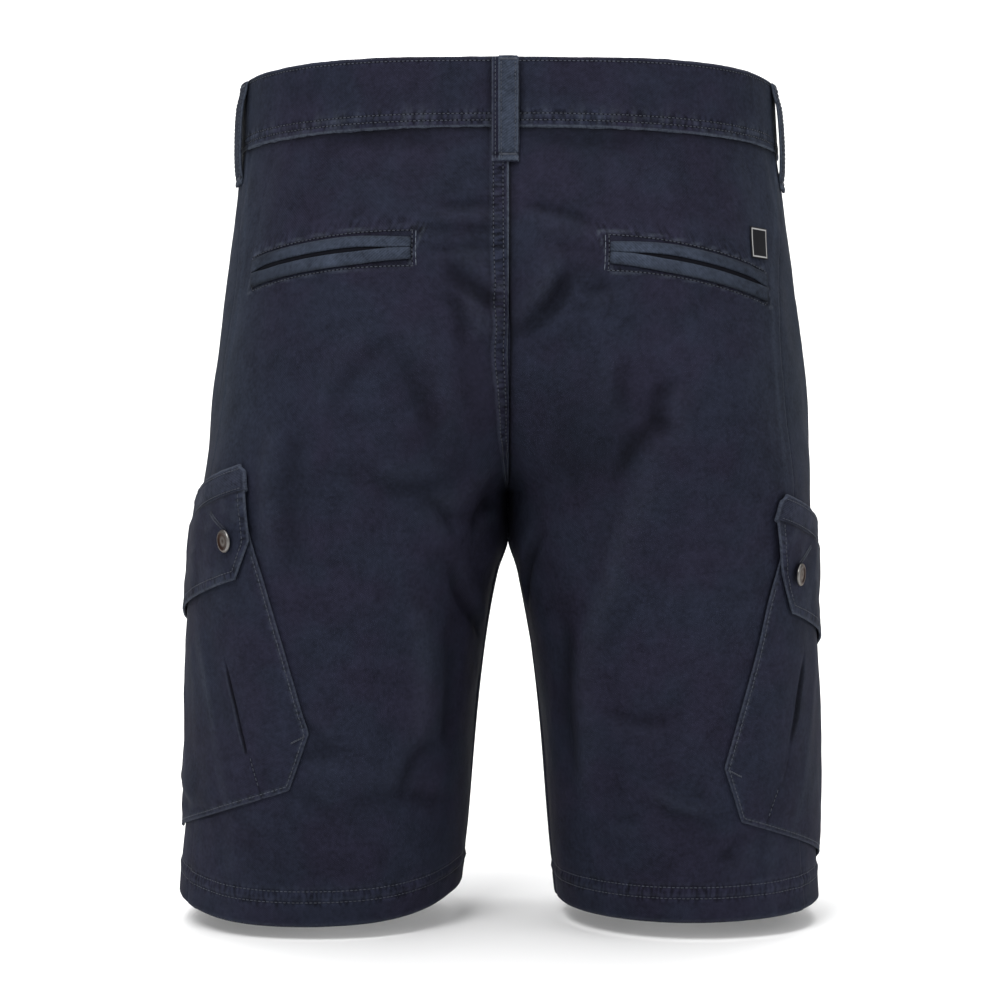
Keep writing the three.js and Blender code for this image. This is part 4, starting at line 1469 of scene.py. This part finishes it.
class SewFly(bpy.types.Operator):
    """The fly's outer layer on the left front, straight at the middle and curved below"""

    bl_idname = "shorts.sew_fly"
    bl_label = "Sew fly"

    def execute(self, context):
        share = np.concatenate([[0, 0.02, 0.06], np.linspace(0.12, 0.9, 18), [0.95, 0.98, 1.0]])[None]
        b = (FLY_DROP * np.concatenate([np.linspace(0, 0.9, 60), np.linspace(0.91, 1, 14)]))[:, None]
        edge = np.minimum(share, 1 - share) * 36
        lift = FLY_WALL - 0.15 + 0.2 * smooth(edge / 2) + 0.16 * ripple(b / 3.4, share * 5, 61)
        outside = fly_point(share, b, lift)
        inside = fly_point(share, b, 0.0)
        marks = {"wear": 0.5 * bump(edge, 0.6), "upright": band_mask(edge, 1, 9)}
        uv = np.stack(np.broadcast_arrays(share * 37 + 600, -b), -1)
        piece = sew("fly", outside, inside, uv, finish("twill"), "cloth", ["fly"], **marks)
        return {"FINISHED"}


def pocket_rise(cargo, a, b):
    """How far a cargo pocket's outside stands off the panel: flat at its sewn edge, crowned
    between, a pleat folded over on each side that is sewn shut near the bottom."""
    half = pocket_half(b)
    edge = np.minimum(half - np.abs(a), POCKET_DROP - b)
    inward = (half - np.abs(a)) / 26
    below = (b - FLAP_DROP + 6) / 34
    above = (POCKET_DROP - b) / 24
    crown = smooth(inward) * smooth(below) * smooth(above)
    side = np.abs(a) - pleat_line(cargo, b)
    open_part = pleat_open(cargo, b)
    gape = PLEAT_GAPE[cargo[0]]
    end = PLEAT_END[cargo[0]]
    fold = 0.7 * smooth((0.7 - side) / 0.9) * bump(np.minimum(side, 0), 11) * open_part
    trough = -1.1 * bump(side - 0.3 - gape, gape) * open_part
    tack = -0.4 * bump(side - PLEAT_JOG, 0.9) * smooth((b - POCKET_CORNER - 1) / 2)
    tack = tack - 0.3 * bump(side, 0.8) * smooth((b - end + 8) / 6) * smooth((POCKET_CORNER - b) / 4)
    ease = 0.7 * bump(side + 22, 7) * smooth((b - FLAP_DROP) / 20) * smooth((POCKET_CORNER + 8 - b) / 30)
    gather = 0.24 * ripple(a / 3.0, b / 3.0, 71) * bump(edge - 2.5, 2.5)
    rows = -0.24 * rows_at(edge, POCKET_ROWS, 0.8)
    dents = 0.5 * ripple(a / 21 + 5, b / 26, 72) + 0.22 * ripple(a / 9, b / 11, 73)
    soft = dents * smooth(edge / 12) * smooth(below)
    total = POCKET_EDGE + POCKET_CROWN * crown + fold + trough + tack + ease + gather + rows
    return np.maximum(total + soft, 1.9)


def pleat_open(cargo, b):
    """1 where the pleat is open, falling off towards both its ends."""
    start, end = PLEAT_START[cargo[0]], PLEAT_END[cargo[0]]
    return smooth((b - start) / 22) * smooth((end - b) / (4 if cargo[0] > 0 else 30))


def pleat_line(cargo, b):
    """The pleat's fold bows towards the pocket's side."""
    bow = PLEAT_BOW[cargo[0]]
    return PLEAT_FROM + bow * np.sin(np.pi * np.clip((b - 50) / 120, 0, 1))


def pocket_columns(b):
    """a of each column: fixed ones in the middle and round the pleats, and outside them a
    stretch to the pocket's edge, closer together there."""
    inner = np.linspace(0, 40, 21)
    round_pleat = np.array([42, 43.5, 44.8, 45.8, 46.6, 47.2, 47.8, 48.4, 49.2, 50.2, 51.5, 53])
    t = np.array([0.08, 0.18, 0.28, 0.38, 0.48, 0.58, 0.67, 0.75, 0.82, 0.87, 0.91, 0.94, 0.97, 0.99, 1.0])
    half = pocket_half(b)[:, None]
    fixed = np.broadcast_to(np.concatenate([inner, round_pleat])[None], (len(b), 33))
    right = np.concatenate([fixed, 53 + (half - 53) * t[None]], axis=1)
    return np.concatenate([-right[:, :0:-1], right], axis=1)


def on_pocket(cargo, a, b, extra=0.0):
    a, b = np.broadcast_arrays(np.asarray(a, float), np.asarray(b, float))
    return on_cargo(cargo, a + cargo[5], b, pocket_rise(cargo, a, b) + extra)


class SewCargoPockets(bpy.types.Operator):
    """The two pleated cargo pockets"""

    bl_idname = "shorts.sew_cargo_pockets"
    bl_label = "Sew cargo pockets"

    def execute(self, context):
        steps = np.array([0, 0.6, 1.2, 1.9, 2.7, 3.8, 5.0, 6.0, 6.8, 7.8])
        b = np.concatenate([np.linspace(POCKET_TOP, POCKET_DROP - 9.5, 84), POCKET_DROP - steps[::-1]])
        a = pocket_columns(b)
        b = np.broadcast_to(b[:, None], a.shape)
        for name, cargo in CARGO.items():
            half = pocket_half(b)
            edge = np.minimum(half - np.abs(a), POCKET_DROP - b)
            outside = on_pocket(cargo, a, b)
            inside = on_cargo(cargo, a + cargo[5], b, WIDE_SEAT)
            side = np.abs(a) - pleat_line(cargo, b)
            open_part = pleat_open(cargo, b)
            wear = 0.36 * bump(edge, 0.55) + 0.2 * bump(side + 0.6, 0.7) * open_part
            streak = bump(side + 22, 3.2) * smooth((b - FLAP_DROP) / 20)
            wear = wear + 0.22 * streak * (0.6 + 0.4 * ripple(a / 3, b / 22, 74))
            wear = wear + 0.25 * rows_at(edge, POCKET_ROWS, 0.9)
            shade = 1.4 * bump(side - 0.6, PLEAT_GAPE[cargo[0]]) * open_part
            end = PLEAT_END[cargo[0]]
            shut = smooth((b - end + 8) / 6) * smooth((POCKET_CORNER + 1 - b) / 2)
            shade = shade + 0.5 * bump(side, 0.6) * shut
            below = smooth((b - POCKET_CORNER - 1) / 2)
            shade = shade + 0.6 * bump(side - PLEAT_JOG, 0.6) * below
            shade = shade + 0.35 * bump(b - POCKET_CORNER, 0.8) * bump(side - PLEAT_JOG / 2, 3)
            shade = shade + 0.3 * rows_at(edge, POCKET_ROWS, 0.6)
            beside = half - np.abs(a) < POCKET_DROP - b
            stitched = band_mask(edge, 0.6, 3.6)
            marks = {"wear": wear, "shade": shade}
            marks.update(pucker=stitched * ~beside, upright=stitched * beside)
            uv = np.stack([a + 900 * cargo[0], -b], -1)
            node = f"cargo_pocket_{name}"
            piece = sew(node, outside, inside, uv, finish("twill"), "cloth", [node], **marks)
        return {"FINISHED"}


def flap_rise(b):
    return FLAP_TOP_RISE + FLAP_HANG * smooth((b - FLAP_STRIP) / (FLAP_DROP - FLAP_STRIP))


def flap_lift(cargo, a, b):
    """The flap's own relief: grooves at its stitches, gathers at its edge, a dimple at each
    button and soft dents."""
    half = flap_half(cargo, b)
    edge = np.minimum(half - np.abs(a), FLAP_DROP - b)
    button = flap_half(cargo, np.array(BUTTON_DOWN)) - BUTTON_INSET
    off = np.hypot(np.abs(a) - button, b - BUTTON_DOWN)
    lift = -0.25 * rows_at(edge, FLAP_ROWS, 0.8) - 0.7 * bump(off, 9)
    lift = lift + 0.26 * ripple(a / 3.2, b / 3.4, 81) * bump(edge - 4, 4)
    dents = 0.6 * ripple(a / 17 + 3, b / 15, 82) + 0.3 * ripple(a / 8, b / 8, 83)
    return lift + dents * smooth(edge / 8)


def on_flap(cargo, a, b, extra=0.0):
    a, b = np.broadcast_arrays(np.asarray(a, float), np.asarray(b, float))
    return on_cargo(cargo, a, b, flap_rise(b) + FLAP_WALL + flap_lift(cargo, a, b) + extra)


class SewFlaps(bpy.types.Operator):
    """Pocket flaps with cut corners, and the lighter strips along their upper edges"""

    bl_idname = "shorts.sew_flaps"
    bl_label = "Sew flaps"

    def execute(self, context):
        top = FLAP_STRIP + GAP
        rows = np.concatenate([np.linspace(top, FLAP_DROP - 8, 26), FLAP_DROP - np.array([7, 6.2, 5.4, 4.4, 3.4, 2.6, 1.9, 1.2, 0.6, 0])])
        b = rows[:, None]
        end = np.array([0, 0.6, 1.2, 1.9, 2.6, 3.4, 4.6, 5.8, 6.6, 7.4, 8.6])
        for name, cargo in CARGO.items():
            half = flap_half(cargo, b)
            middle = np.linspace(-1, 1, 84)[None, 1:-1] * (half - 8.6)
            a = np.concatenate([-half + end[None], middle, half - end[None, ::-1]], axis=1)
            down = np.broadcast_to(b, a.shape)
            edge = np.minimum(half - np.abs(a), FLAP_DROP - down)
            wear = 0.42 * bump(edge, 0.7) + 0.12 * smooth(ripple(a / 7, down / 6, 84) * 2)
            shade = 0.3 * rows_at(edge, FLAP_ROWS, 0.6) + 0.6 * bump(down - top, 1.4)
            beside = half - np.abs(a) < FLAP_DROP - down
            stitched = band_mask(edge, 0.8, 5.8)
            marks = {"wear": wear, "shade": shade}
            marks.update(pucker=stitched * ~beside, upright=stitched * beside)
            outside = on_flap(cargo, a, down)
            inside = on_cargo(cargo, a, down, flap_rise(down))
            uv = np.stack([a + 1300 * cargo[0], -down], -1)
            node = f"flap_{name}"
            piece = sew(node, outside, inside, uv, finish("twill"), "cloth", [node], **marks)
            v = np.array([0, 0.03, 0.08, 0.14, 0.25, 0.4, 0.55, 0.7, 0.82, 0.9, 0.96, 1.0])[:, None]
            b_strip = FLAP_STRIP * v
            half_strip = FLAP_HALF - 4 * (1 - smooth(b_strip / 5))
            u = np.concatenate([[-1, -0.993, -0.98], np.linspace(-0.965, 0.965, 90), [0.98, 0.993, 1]])[None]
            a_strip = half_strip * u
            b_strip = np.broadcast_to(b_strip, a_strip.shape)
            near = np.minimum(np.minimum(half_strip - np.abs(a_strip), b_strip), FLAP_STRIP - b_strip)
            soft = 0.2 * ripple(a_strip / 4, b_strip / 6, 85) - 0.2 * rows_at(near, (2.0,), 0.7)
            outside = on_cargo(cargo, a_strip, b_strip, FLAP_STRIP_RISE - 0.15 + soft + 0.2 * smooth(near / 3))
            inside = on_cargo(cargo, a_strip, b_strip, WIDE_SEAT)
            uv = np.stack([a_strip + 100, -b_strip], -1)
            node = f"flap_strip_{name}"
            marks = {"wear": 0.35 * bump(near, 0.6), "shade": 0.35 * bump(near - 1.8, 0.6)}
            piece = sew(node, outside, inside, uv, finish("strip"), "tape", [node], **marks)
        return {"FINISHED"}


def button_profile(across, high):
    """Neck, rounded rim and sunk centre with a small boss, as (radius, height) pairs."""
    r = across / 2
    rim = 0.6 * high
    pairs = [
        (0, 0),
        (0.45 * r, 0),
        (0.45 * r, 0.35 * high),
        (0.9 * r, 0.35 * high),
        (0.97 * r, 0.40 * high),
        (r, 0.35 * high + 0.3 * rim),
        (0.98 * r, 0.72 * high),
        (0.93 * r, 0.9 * high),
        (0.85 * r, high),
        (0.75 * r, high),
        (0.68 * r, 0.95 * high),
        (0.62 * r, 0.86 * high),
        (0.57 * r, high - 0.3 * rim),
        (0.50 * r, high - 0.32 * rim),
        (0.3 * r, high - 0.24 * rim),
        (0.1 * r, high - 0.2 * rim),
        (0, high - 0.2 * rim),
    ]
    return np.array(pairs)


def set_button(name, size, place, lean=0.0):
    """Stands a button on place(x, y), a function of small moves along the cloth. Its axis is
    the cloth's normal, moved sideways by the lean and made one long again."""
    across, high = size
    centre = place(0.0, 0.0)
    sideways = place(2.0, 0.0) - place(-2.0, 0.0)
    upwards = place(0.0, 2.0) - place(0.0, -2.0)
    normal = np.cross(sideways, upwards)
    normal /= np.linalg.norm(normal)
    if normal @ (centre * [1, 1, 0]) < 0:
        normal = -normal
    outwards = np.array([np.sign(centre[0]), 0, 0.1])
    normal = normal + lean * (outwards - (outwards @ normal) * normal)
    normal /= np.linalg.norm(normal)
    profile = button_profile(across, high)
    points, faces = revolve(profile, centre, normal, 40)
    middle = (points - centre) @ normal
    out = np.linalg.norm(points - centre - middle[:, None] * normal, axis=1)
    inside = smooth((0.86 * across / 2 - out) / (0.04 * across))
    inside = inside * (1 - 0.75 * bump(out - 0.3 * across / 2, 0.07 * across))
    marks = {"centre": inside * (middle > 0.5 * high)}
    first = faces[0][0]
    a, b, c = points[first[0]], points[first[1]], points[first[2]]
    face_normal = np.cross(b - a, c - a)
    body = points.mean(0)
    if face_normal @ ((a + b + c) / 3 - body) < 0:
        faces = [group[:, ::-1] for group in faces]
    make_piece(name + "_metal", points, faces, finish("button"), [name], None, marks)


class SetButtons(bpy.types.Operator):
    """Metal buttons: two on each flap and one at the waist"""

    bl_idname = "shorts.set_buttons"
    bl_label = "Set buttons"

    def execute(self, context):
        for name, cargo in CARGO.items():
            for place, way in (("back", 1), ("front", -1)):
                middle = way * (flap_half(cargo, np.array(BUTTON_DOWN)) - BUTTON_INSET)
                lift = flap_rise(BUTTON_DOWN) + FLAP_WALL + SEAT

                def on_it(x, y, middle=middle, lift=lift, cargo=cargo):
                    return on_cargo(cargo, middle + x, BUTTON_DOWN - y, lift)

                set_button(f"button_{name}_{place}", FLAP_BUTTON, on_it, BUTTON_LEAN)
        middle = along_waist(0.0, 1) + WAIST_BUTTON_PAST
        lift = BAND_PROUD + LAP_RISE + GAP
        set_button("button_waist", WAIST_BUTTON, lambda x, y: around(middle + x, y, lift))
        return {"FINISHED"}


def add_thread(name, lines, pitch=None, share=0.78, radius=None, kind="thread"):
    c = bpy.context.scene.shorts_cloth
    pitch = pitch or c.stitch_pitch
    points, faces = thread(lines, pitch, pitch * share, radius or c.thread_radius)
    make_piece(name, points, faces, finish(kind))


def seam_lines():
    """Rows down the centre back and the inseams."""
    lines = []
    back = HALVES[1]
    z = np.linspace(-40, CROTCH + 3, 160)
    for row in CB_ROWS:
        lines.append(on_panel(back, 1, back.length(z, 1) - row, z, 0.12))
    for half in HALVES.values():
        z = np.linspace(CROTCH - 4, HEM + 1, 160)
        for row in INSEAM_ROWS:
            lines.append(on_panel(half, 1, half.length(z, 1) - GAP / 2 - row, z, 0.12))
    return lines


def hem_lines():
    lines = []
    for half in HALVES.values():
        for high in HEM_ROWS:
            z = HEM + high
            seam = float(half.seam(np.array(z)))
            ends = (half.length(z, 1) - 0.4, -half.length(z, -1) + 0.4)
            w = np.linspace(ends[0], seam, 200)
            lines.append(on_panel(half, 1, w, z, 0.12))
            w = np.linspace(seam, ends[1], 240)
            lines.append(on_panel(half, -1, w, z, 0.12))
    return lines


def band_lines():
    lines = []
    for row in BAND_ROWS:
        left = along_waist(row, 1)
        right = along_waist(row, -1)
        s = np.linspace(-right - 1, left + LAP_OVER - 2, 900)
        lines.append(on_band(s, band_height(s, np.full(900, row)), 0.1))
    z = np.linspace(-16, 17, 40)
    lines.append(on_band(along_waist(z, 1) + LAP_OVER - 2.4, z, 0.1))
    return lines


def loop_lines():
    lines = []
    for name in LOOPS:
        z = np.linspace(LOOP_TOP - 1, LOOP_FOOT[name] + 1, 60)
        wide = LOOP_WIDTH / 2 - 2.1
        for way in (1, -1):
            lines.append(on_loop(name, way * wide, z, LOOP_WALL + 0.12))
    z = np.linspace(LOOP_TOP - 1, LOOP_FOOT["loop_back"] + 1, 60)
    for way in (1, -1):
        across = TAPE_SHIFT + way * (TAPE_WIDTH / 2 - 1.7)
        lines.append(on_loop("loop_back", across, z, LOOP_WALL + GAP + TAPE_WALL + 0.15))
    return lines


def jet_lines():
    """A stitched frame round each back pocket, just outside its lips."""
    lines = []
    for jet in JETS.values():
        side, inner, outer = jet[:3]
        length = inner - outer
        share = np.linspace(-0.02, 1.01, 160)
        half = HALVES[side]
        for up in (WELTS["upper"][1] + FRAME_OFF, WELTS["lower"][0] - FRAME_OFF):
            w = inner - length * share - WELT_SHEAR * up
            z = slit_height(jet, np.clip(share, 0, 1)) + up
            lines.append(on_panel(half, 1, w, z, 0.12))
        up = np.linspace(WELTS["upper"][1] + FRAME_OFF, WELTS["lower"][0] - FRAME_OFF, 30)
        for share in (-0.011, 1.012):
            w = inner - length * share - WELT_SHEAR * up
            z = slit_height(jet, np.clip(share, 0, 1)) + up
            lines.append(on_panel(half, 1, w, z, 0.12))
    return lines


def jet_edges():
    """The turned edge of the cloth, upright beside each back pocket's inner end."""
    lines = []
    up = np.linspace(WELTS["upper"][1] + FRAME_OFF, WELTS["lower"][0] - FRAME_OFF, 30)
    for jet in JETS.values():
        side, inner, outer = jet[:3]
        w = inner + EDGE_OFF - WELT_SHEAR * up
        z = slit_height(jet, 0.0) + up
        lines.append(on_panel(HALVES[side], 1, w, z, 0.05))
    return lines


def pocket_lines(cargo):
    """Two rows inside the pocket's sides and lower edge, and a short one over each pleat."""
    lines = []
    for row in POCKET_ROWS:
        b = np.concatenate([np.linspace(FLAP_DROP - 10, POCKET_CORNER, 90), np.linspace(POCKET_CORNER, POCKET_DROP - row, 24)[1:]])
        for way in (1, -1):
            lines.append(on_pocket(cargo, way * (pocket_half(b) - row), b, 0.12))
        edge = pocket_half(np.array(POCKET_DROP - row)) - row
        a = np.linspace(-edge, edge, 120)
        lines.append(on_pocket(cargo, a, POCKET_DROP - row, 0.12))
    b = np.linspace(POCKET_CORNER + 3, POCKET_DROP - 7, 20)
    for way in (1, -1):
        lines.append(on_pocket(cargo, way * (pleat_line(cargo, b) + PLEAT_JOG), b, 0.12))
    return lines


def flap_lines(cargo):
    lines = []
    for row in FLAP_ROWS:
        b = np.concatenate([np.linspace(FLAP_STRIP + 1, FLAP_KNEE, 40), np.linspace(FLAP_KNEE, FLAP_DROP - row, 24)[1:]])
        for way in (1, -1):
            lines.append(on_flap(cargo, way * (flap_half(cargo, b) - row), b, 0.1))
        edge = flap_half(cargo, np.array(FLAP_DROP - row)) - row
        lines.append(on_flap(cargo, np.linspace(-edge, edge, 120), FLAP_DROP - row, 0.1))
    a = np.linspace(-FLAP_HALF + 3, FLAP_HALF - 3, 120)
    for b in (2.0, FLAP_STRIP - 2.0):
        lines.append(on_cargo(cargo, a, b, FLAP_STRIP_RISE + 0.1))
    return lines


def zigzag(start, end, wide, count):
    """Points on the line from start to end, each moved to alternate sides by wide."""
    t = np.linspace(0, 1, count)[:, None]
    way = np.where(np.arange(count) % 2, 1.0, -1.0)[:, None]
    return start + (end - start) * t + way * wide


def tacks():
    """Bar tacks: close zigzags of thread at the loops' ends and the pockets' corners."""
    starts, ends = [], []

    def add(points):
        starts.append(points[:-1])
        ends.append(points[1:])

    for name in LOOPS:
        back = name == "loop_back"
        for z, lift in ((LOOP_FOOT[name] + 3.8, -0.2), (LOOP_TOP - 2.4, 0.15)):
            wide = 4.6 if back else 6.0
            extra = LOOP_WALL + lift + (GAP + TAPE_WALL if back else 0)
            a = np.linspace(-wide, wide, 30) + (TAPE_SHIFT if back else 0)
            up = np.where(np.arange(30) % 2, 0.7, -0.7)
            add(on_loop(name, a, z + up, extra))
    for cargo in CARGO.values():
        for way in (1, -1):
            t = np.linspace(0, 1, 16)
            side = np.where(np.arange(16) % 2, 0.6, -0.6)
            a = way * (CORNER_HALF - 2.0 - 8.5 * t)
            b = POCKET_CORNER + 0.5 + 1.5 * t + side
            add(on_pocket(cargo, a, b, 0.25))
    return capsules(np.concatenate(starts), np.concatenate(ends), 0.26)


def buttonholes():
    """A worked buttonhole above each flap button: short threads across a slit."""
    starts, ends = [], []
    for cargo in CARGO.values():
        for way in (1, -1):
            middle = way * (flap_half(cargo, np.array(BUTTON_DOWN)) - BUTTON_INSET)
            t = np.linspace(-1, 1, 26)
            a = middle - way * (2.2 - 5.5 * t) - way * 3.0
            b = BUTTON_DOWN - 12.5 + 6.5 * t
            for side in (1, -1):
                da = side * 0.75
                db = -side * way * 0.6
                starts.append(on_flap(cargo, a + 0.2 * da, b + 0.2 * db, 0.15))
                ends.append(on_flap(cargo, a + 1.5 * da, b + 1.5 * db, 0.15))
    return capsules(np.concatenate(starts), np.concatenate(ends), 0.2)


class SewStitching(bpy.types.Operator):
    """All rows of stitches, bar tacks and worked buttonholes"""

    bl_idname = "shorts.sew_stitching"
    bl_label = "Sew stitching"

    def execute(self, context):
        c = context.scene.shorts_cloth
        rows = {
            "seams": seam_lines(),
            "waistband": band_lines(),
            "back_pockets": jet_lines(),
        }
        for name, cargo in CARGO.items():
            rows[f"pocket_{name}"] = pocket_lines(cargo)
            rows[f"flap_{name}"] = flap_lines(cargo)
        for name, lines in rows.items():
            add_thread(f"stitches_{name}", lines)
        pressed = rows["seams"] + rows["waistband"] + rows["back_pockets"]
        # Dark spindles of painted shadow in the needle dimples between stitches.
        points, faces = thread(pressed, c.stitch_pitch, DIMPLE_SHADOW[0], DIMPLE_SHADOW[1], 1.0)
        make_piece("needle_dimple_shadows", points, faces, finish("painted_shadow"))
        add_thread("stitches_hems", hem_lines())
        add_thread("stitches_loops", loop_lines(), 2.4)
        add_thread("edges_back_pockets", jet_edges(), 3.6, 1.1, 0.3, "edge")
        b = np.linspace(1, FLY_DROP - 3, 120)
        lines = [fly_point(1 - off / 37, b, FLY_WALL + 0.2) for off in (2.0, 7.5)]
        add_thread("stitches_fly", lines)
        points, faces = tacks()
        make_piece("bar_tacks", points, faces, finish("thread"))
        points, faces = buttonholes()
        make_piece("buttonholes", points, faces, finish("thread"))
        return {"FINISHED"}


def area_light(name, place, target, size, power):
    light = bpy.data.lights.new(name, "AREA")
    light.shape = "RECTANGLE"
    light.size, light.size_y = size
    light.energy = power
    lamp = bpy.data.objects.new(name, light)
    lamp.location = place
    away = np.array(place, float) - np.array(target, float)
    flat = math.hypot(away[0], away[1])
    lamp.rotation_euler = (math.atan2(flat, away[2]), 0, math.atan2(away[0], -away[1]) )
    bpy.context.scene.collection.objects.link(lamp)
    return lamp


class SetStage(bpy.types.Operator):
    """A pale floor that sweeps up behind the garment, soft lights and the camera"""

    bl_idname = "shorts.set_stage"
    bl_label = "Set stage"

    def execute(self, context):
        scene = context.scene
        c = scene.shorts_stage
        low = HEM - 10
        back, radius, top = -2300.0, 700.0, 3600.0
        turn = np.linspace(0, np.pi / 2, 17)
        y = np.concatenate([[4600.0, 1500.0, 0.0], back - radius * np.sin(turn), [back - radius]])
        z = np.concatenate([[low] * 3, low + radius * (1 - np.cos(turn)), [top]])
        x = np.array([-4500.0, 0.0, 4500.0])
        points = np.stack(
            [
                np.broadcast_to(x[None], (len(y), 3)),
                np.broadcast_to(y[:, None], (len(y), 3)),
                np.broadcast_to(z[:, None], (len(y), 3)),
            ],
            -1,
        ).reshape(-1, 3)
        i, j = np.meshgrid(np.arange(len(y) - 1), np.arange(2), indexing="ij")
        a = (i * 3 + j).ravel()
        faces = np.stack([a, a + 3, a + 4, a + 1], 1)
        mesh = bpy.data.meshes.new("floor")
        mesh.from_pydata((points * MM).tolist(), [], faces.tolist())
        mesh.polygons.foreach_set("use_smooth", np.ones(len(faces), bool))
        mesh.materials.append(plain_finish("pale_floor", tuple(c.floor), 0.8))
        floor = bpy.data.objects.new("floor", mesh)
        scene.collection.objects.link(floor)

        middle = (0.0, 0.0, -0.2)
        lamps = [
            area_light("key", (0.7, 1.7, 1.5), middle, (1.0, 1.0), c.key),
            area_light("fill", (-2.2, 1.2, 0.4), middle, (1.2, 1.8), c.fill),
            area_light("top", (0.0, 0.1, 2.0), middle, (1.6, 1.6), c.top),
            area_light("behind", (0.0, -0.9, 2.2), (0.0, -3.0, 0.2), (2.6, 0.8), c.behind),
        ]
        world = bpy.data.worlds.new("soft_sky")
        world.use_nodes = True
        shader = world.node_tree.nodes["Background"]
        shader.inputs["Color"].default_value = (1, 1, 1, 1)
        shader.inputs["Strength"].default_value = c.sky
        scene.world = world
        scene.view_settings.view_transform = "Standard"

        lens = bpy.data.cameras.new("camera")
        lens.lens = c.lens
        lens.sensor_width = 36.0
        lens.clip_start, lens.clip_end = 0.05, 50.0
        camera = bpy.data.objects.new("camera", lens)
        camera.location = (0.0048, c.distance, -0.1972)
        camera.rotation_euler = (math.radians(90 - 1.1459), 0, math.radians(180))
        scene.collection.objects.link(camera)
        scene.camera = camera
        return {"FINISHED"}


class ShortsPanel(bpy.types.Panel):
    """Lists the steps and the settings"""

    bl_idname = "VIEW3D_PT_shorts"
    bl_label = "Shorts"
    bl_space_type = "VIEW_3D"
    bl_region_type = "UI"
    bl_category = "Shorts"

    def draw(self, context):
        for step in STEPS:
            self.layout.operator(step.bl_idname)
        for group in (context.scene.shorts_cloth, context.scene.shorts_stage):
            for name in group.__annotations__:
                self.layout.prop(group, name)


STEPS = [
    SewPanels,
    SewWaistband,
    SewBeltLoops,
    SewBackPockets,
    SewLabel,
    SewFly,
    SewCargoPockets,
    SewFlaps,
    SetButtons,
    SewStitching,
    SetStage,
]
CLASSES = [ClothSettings, StageSettings, *STEPS, ShortsPanel]


def register():
    for kind in CLASSES:
        bpy.utils.register_class(kind)
    bpy.types.Scene.shorts_cloth = PointerProperty(type=ClothSettings)
    bpy.types.Scene.shorts_stage = PointerProperty(type=StageSettings)


def unregister():
    del bpy.types.Scene.shorts_stage
    del bpy.types.Scene.shorts_cloth
    for kind in reversed(CLASSES):
        bpy.utils.unregister_class(kind)


def main():
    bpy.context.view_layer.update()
    register()
    for step in STEPS:
        group, name = step.bl_idname.split(".")
        getattr(getattr(bpy.ops, group), name)()


if __name__ == "__main__":
    main()
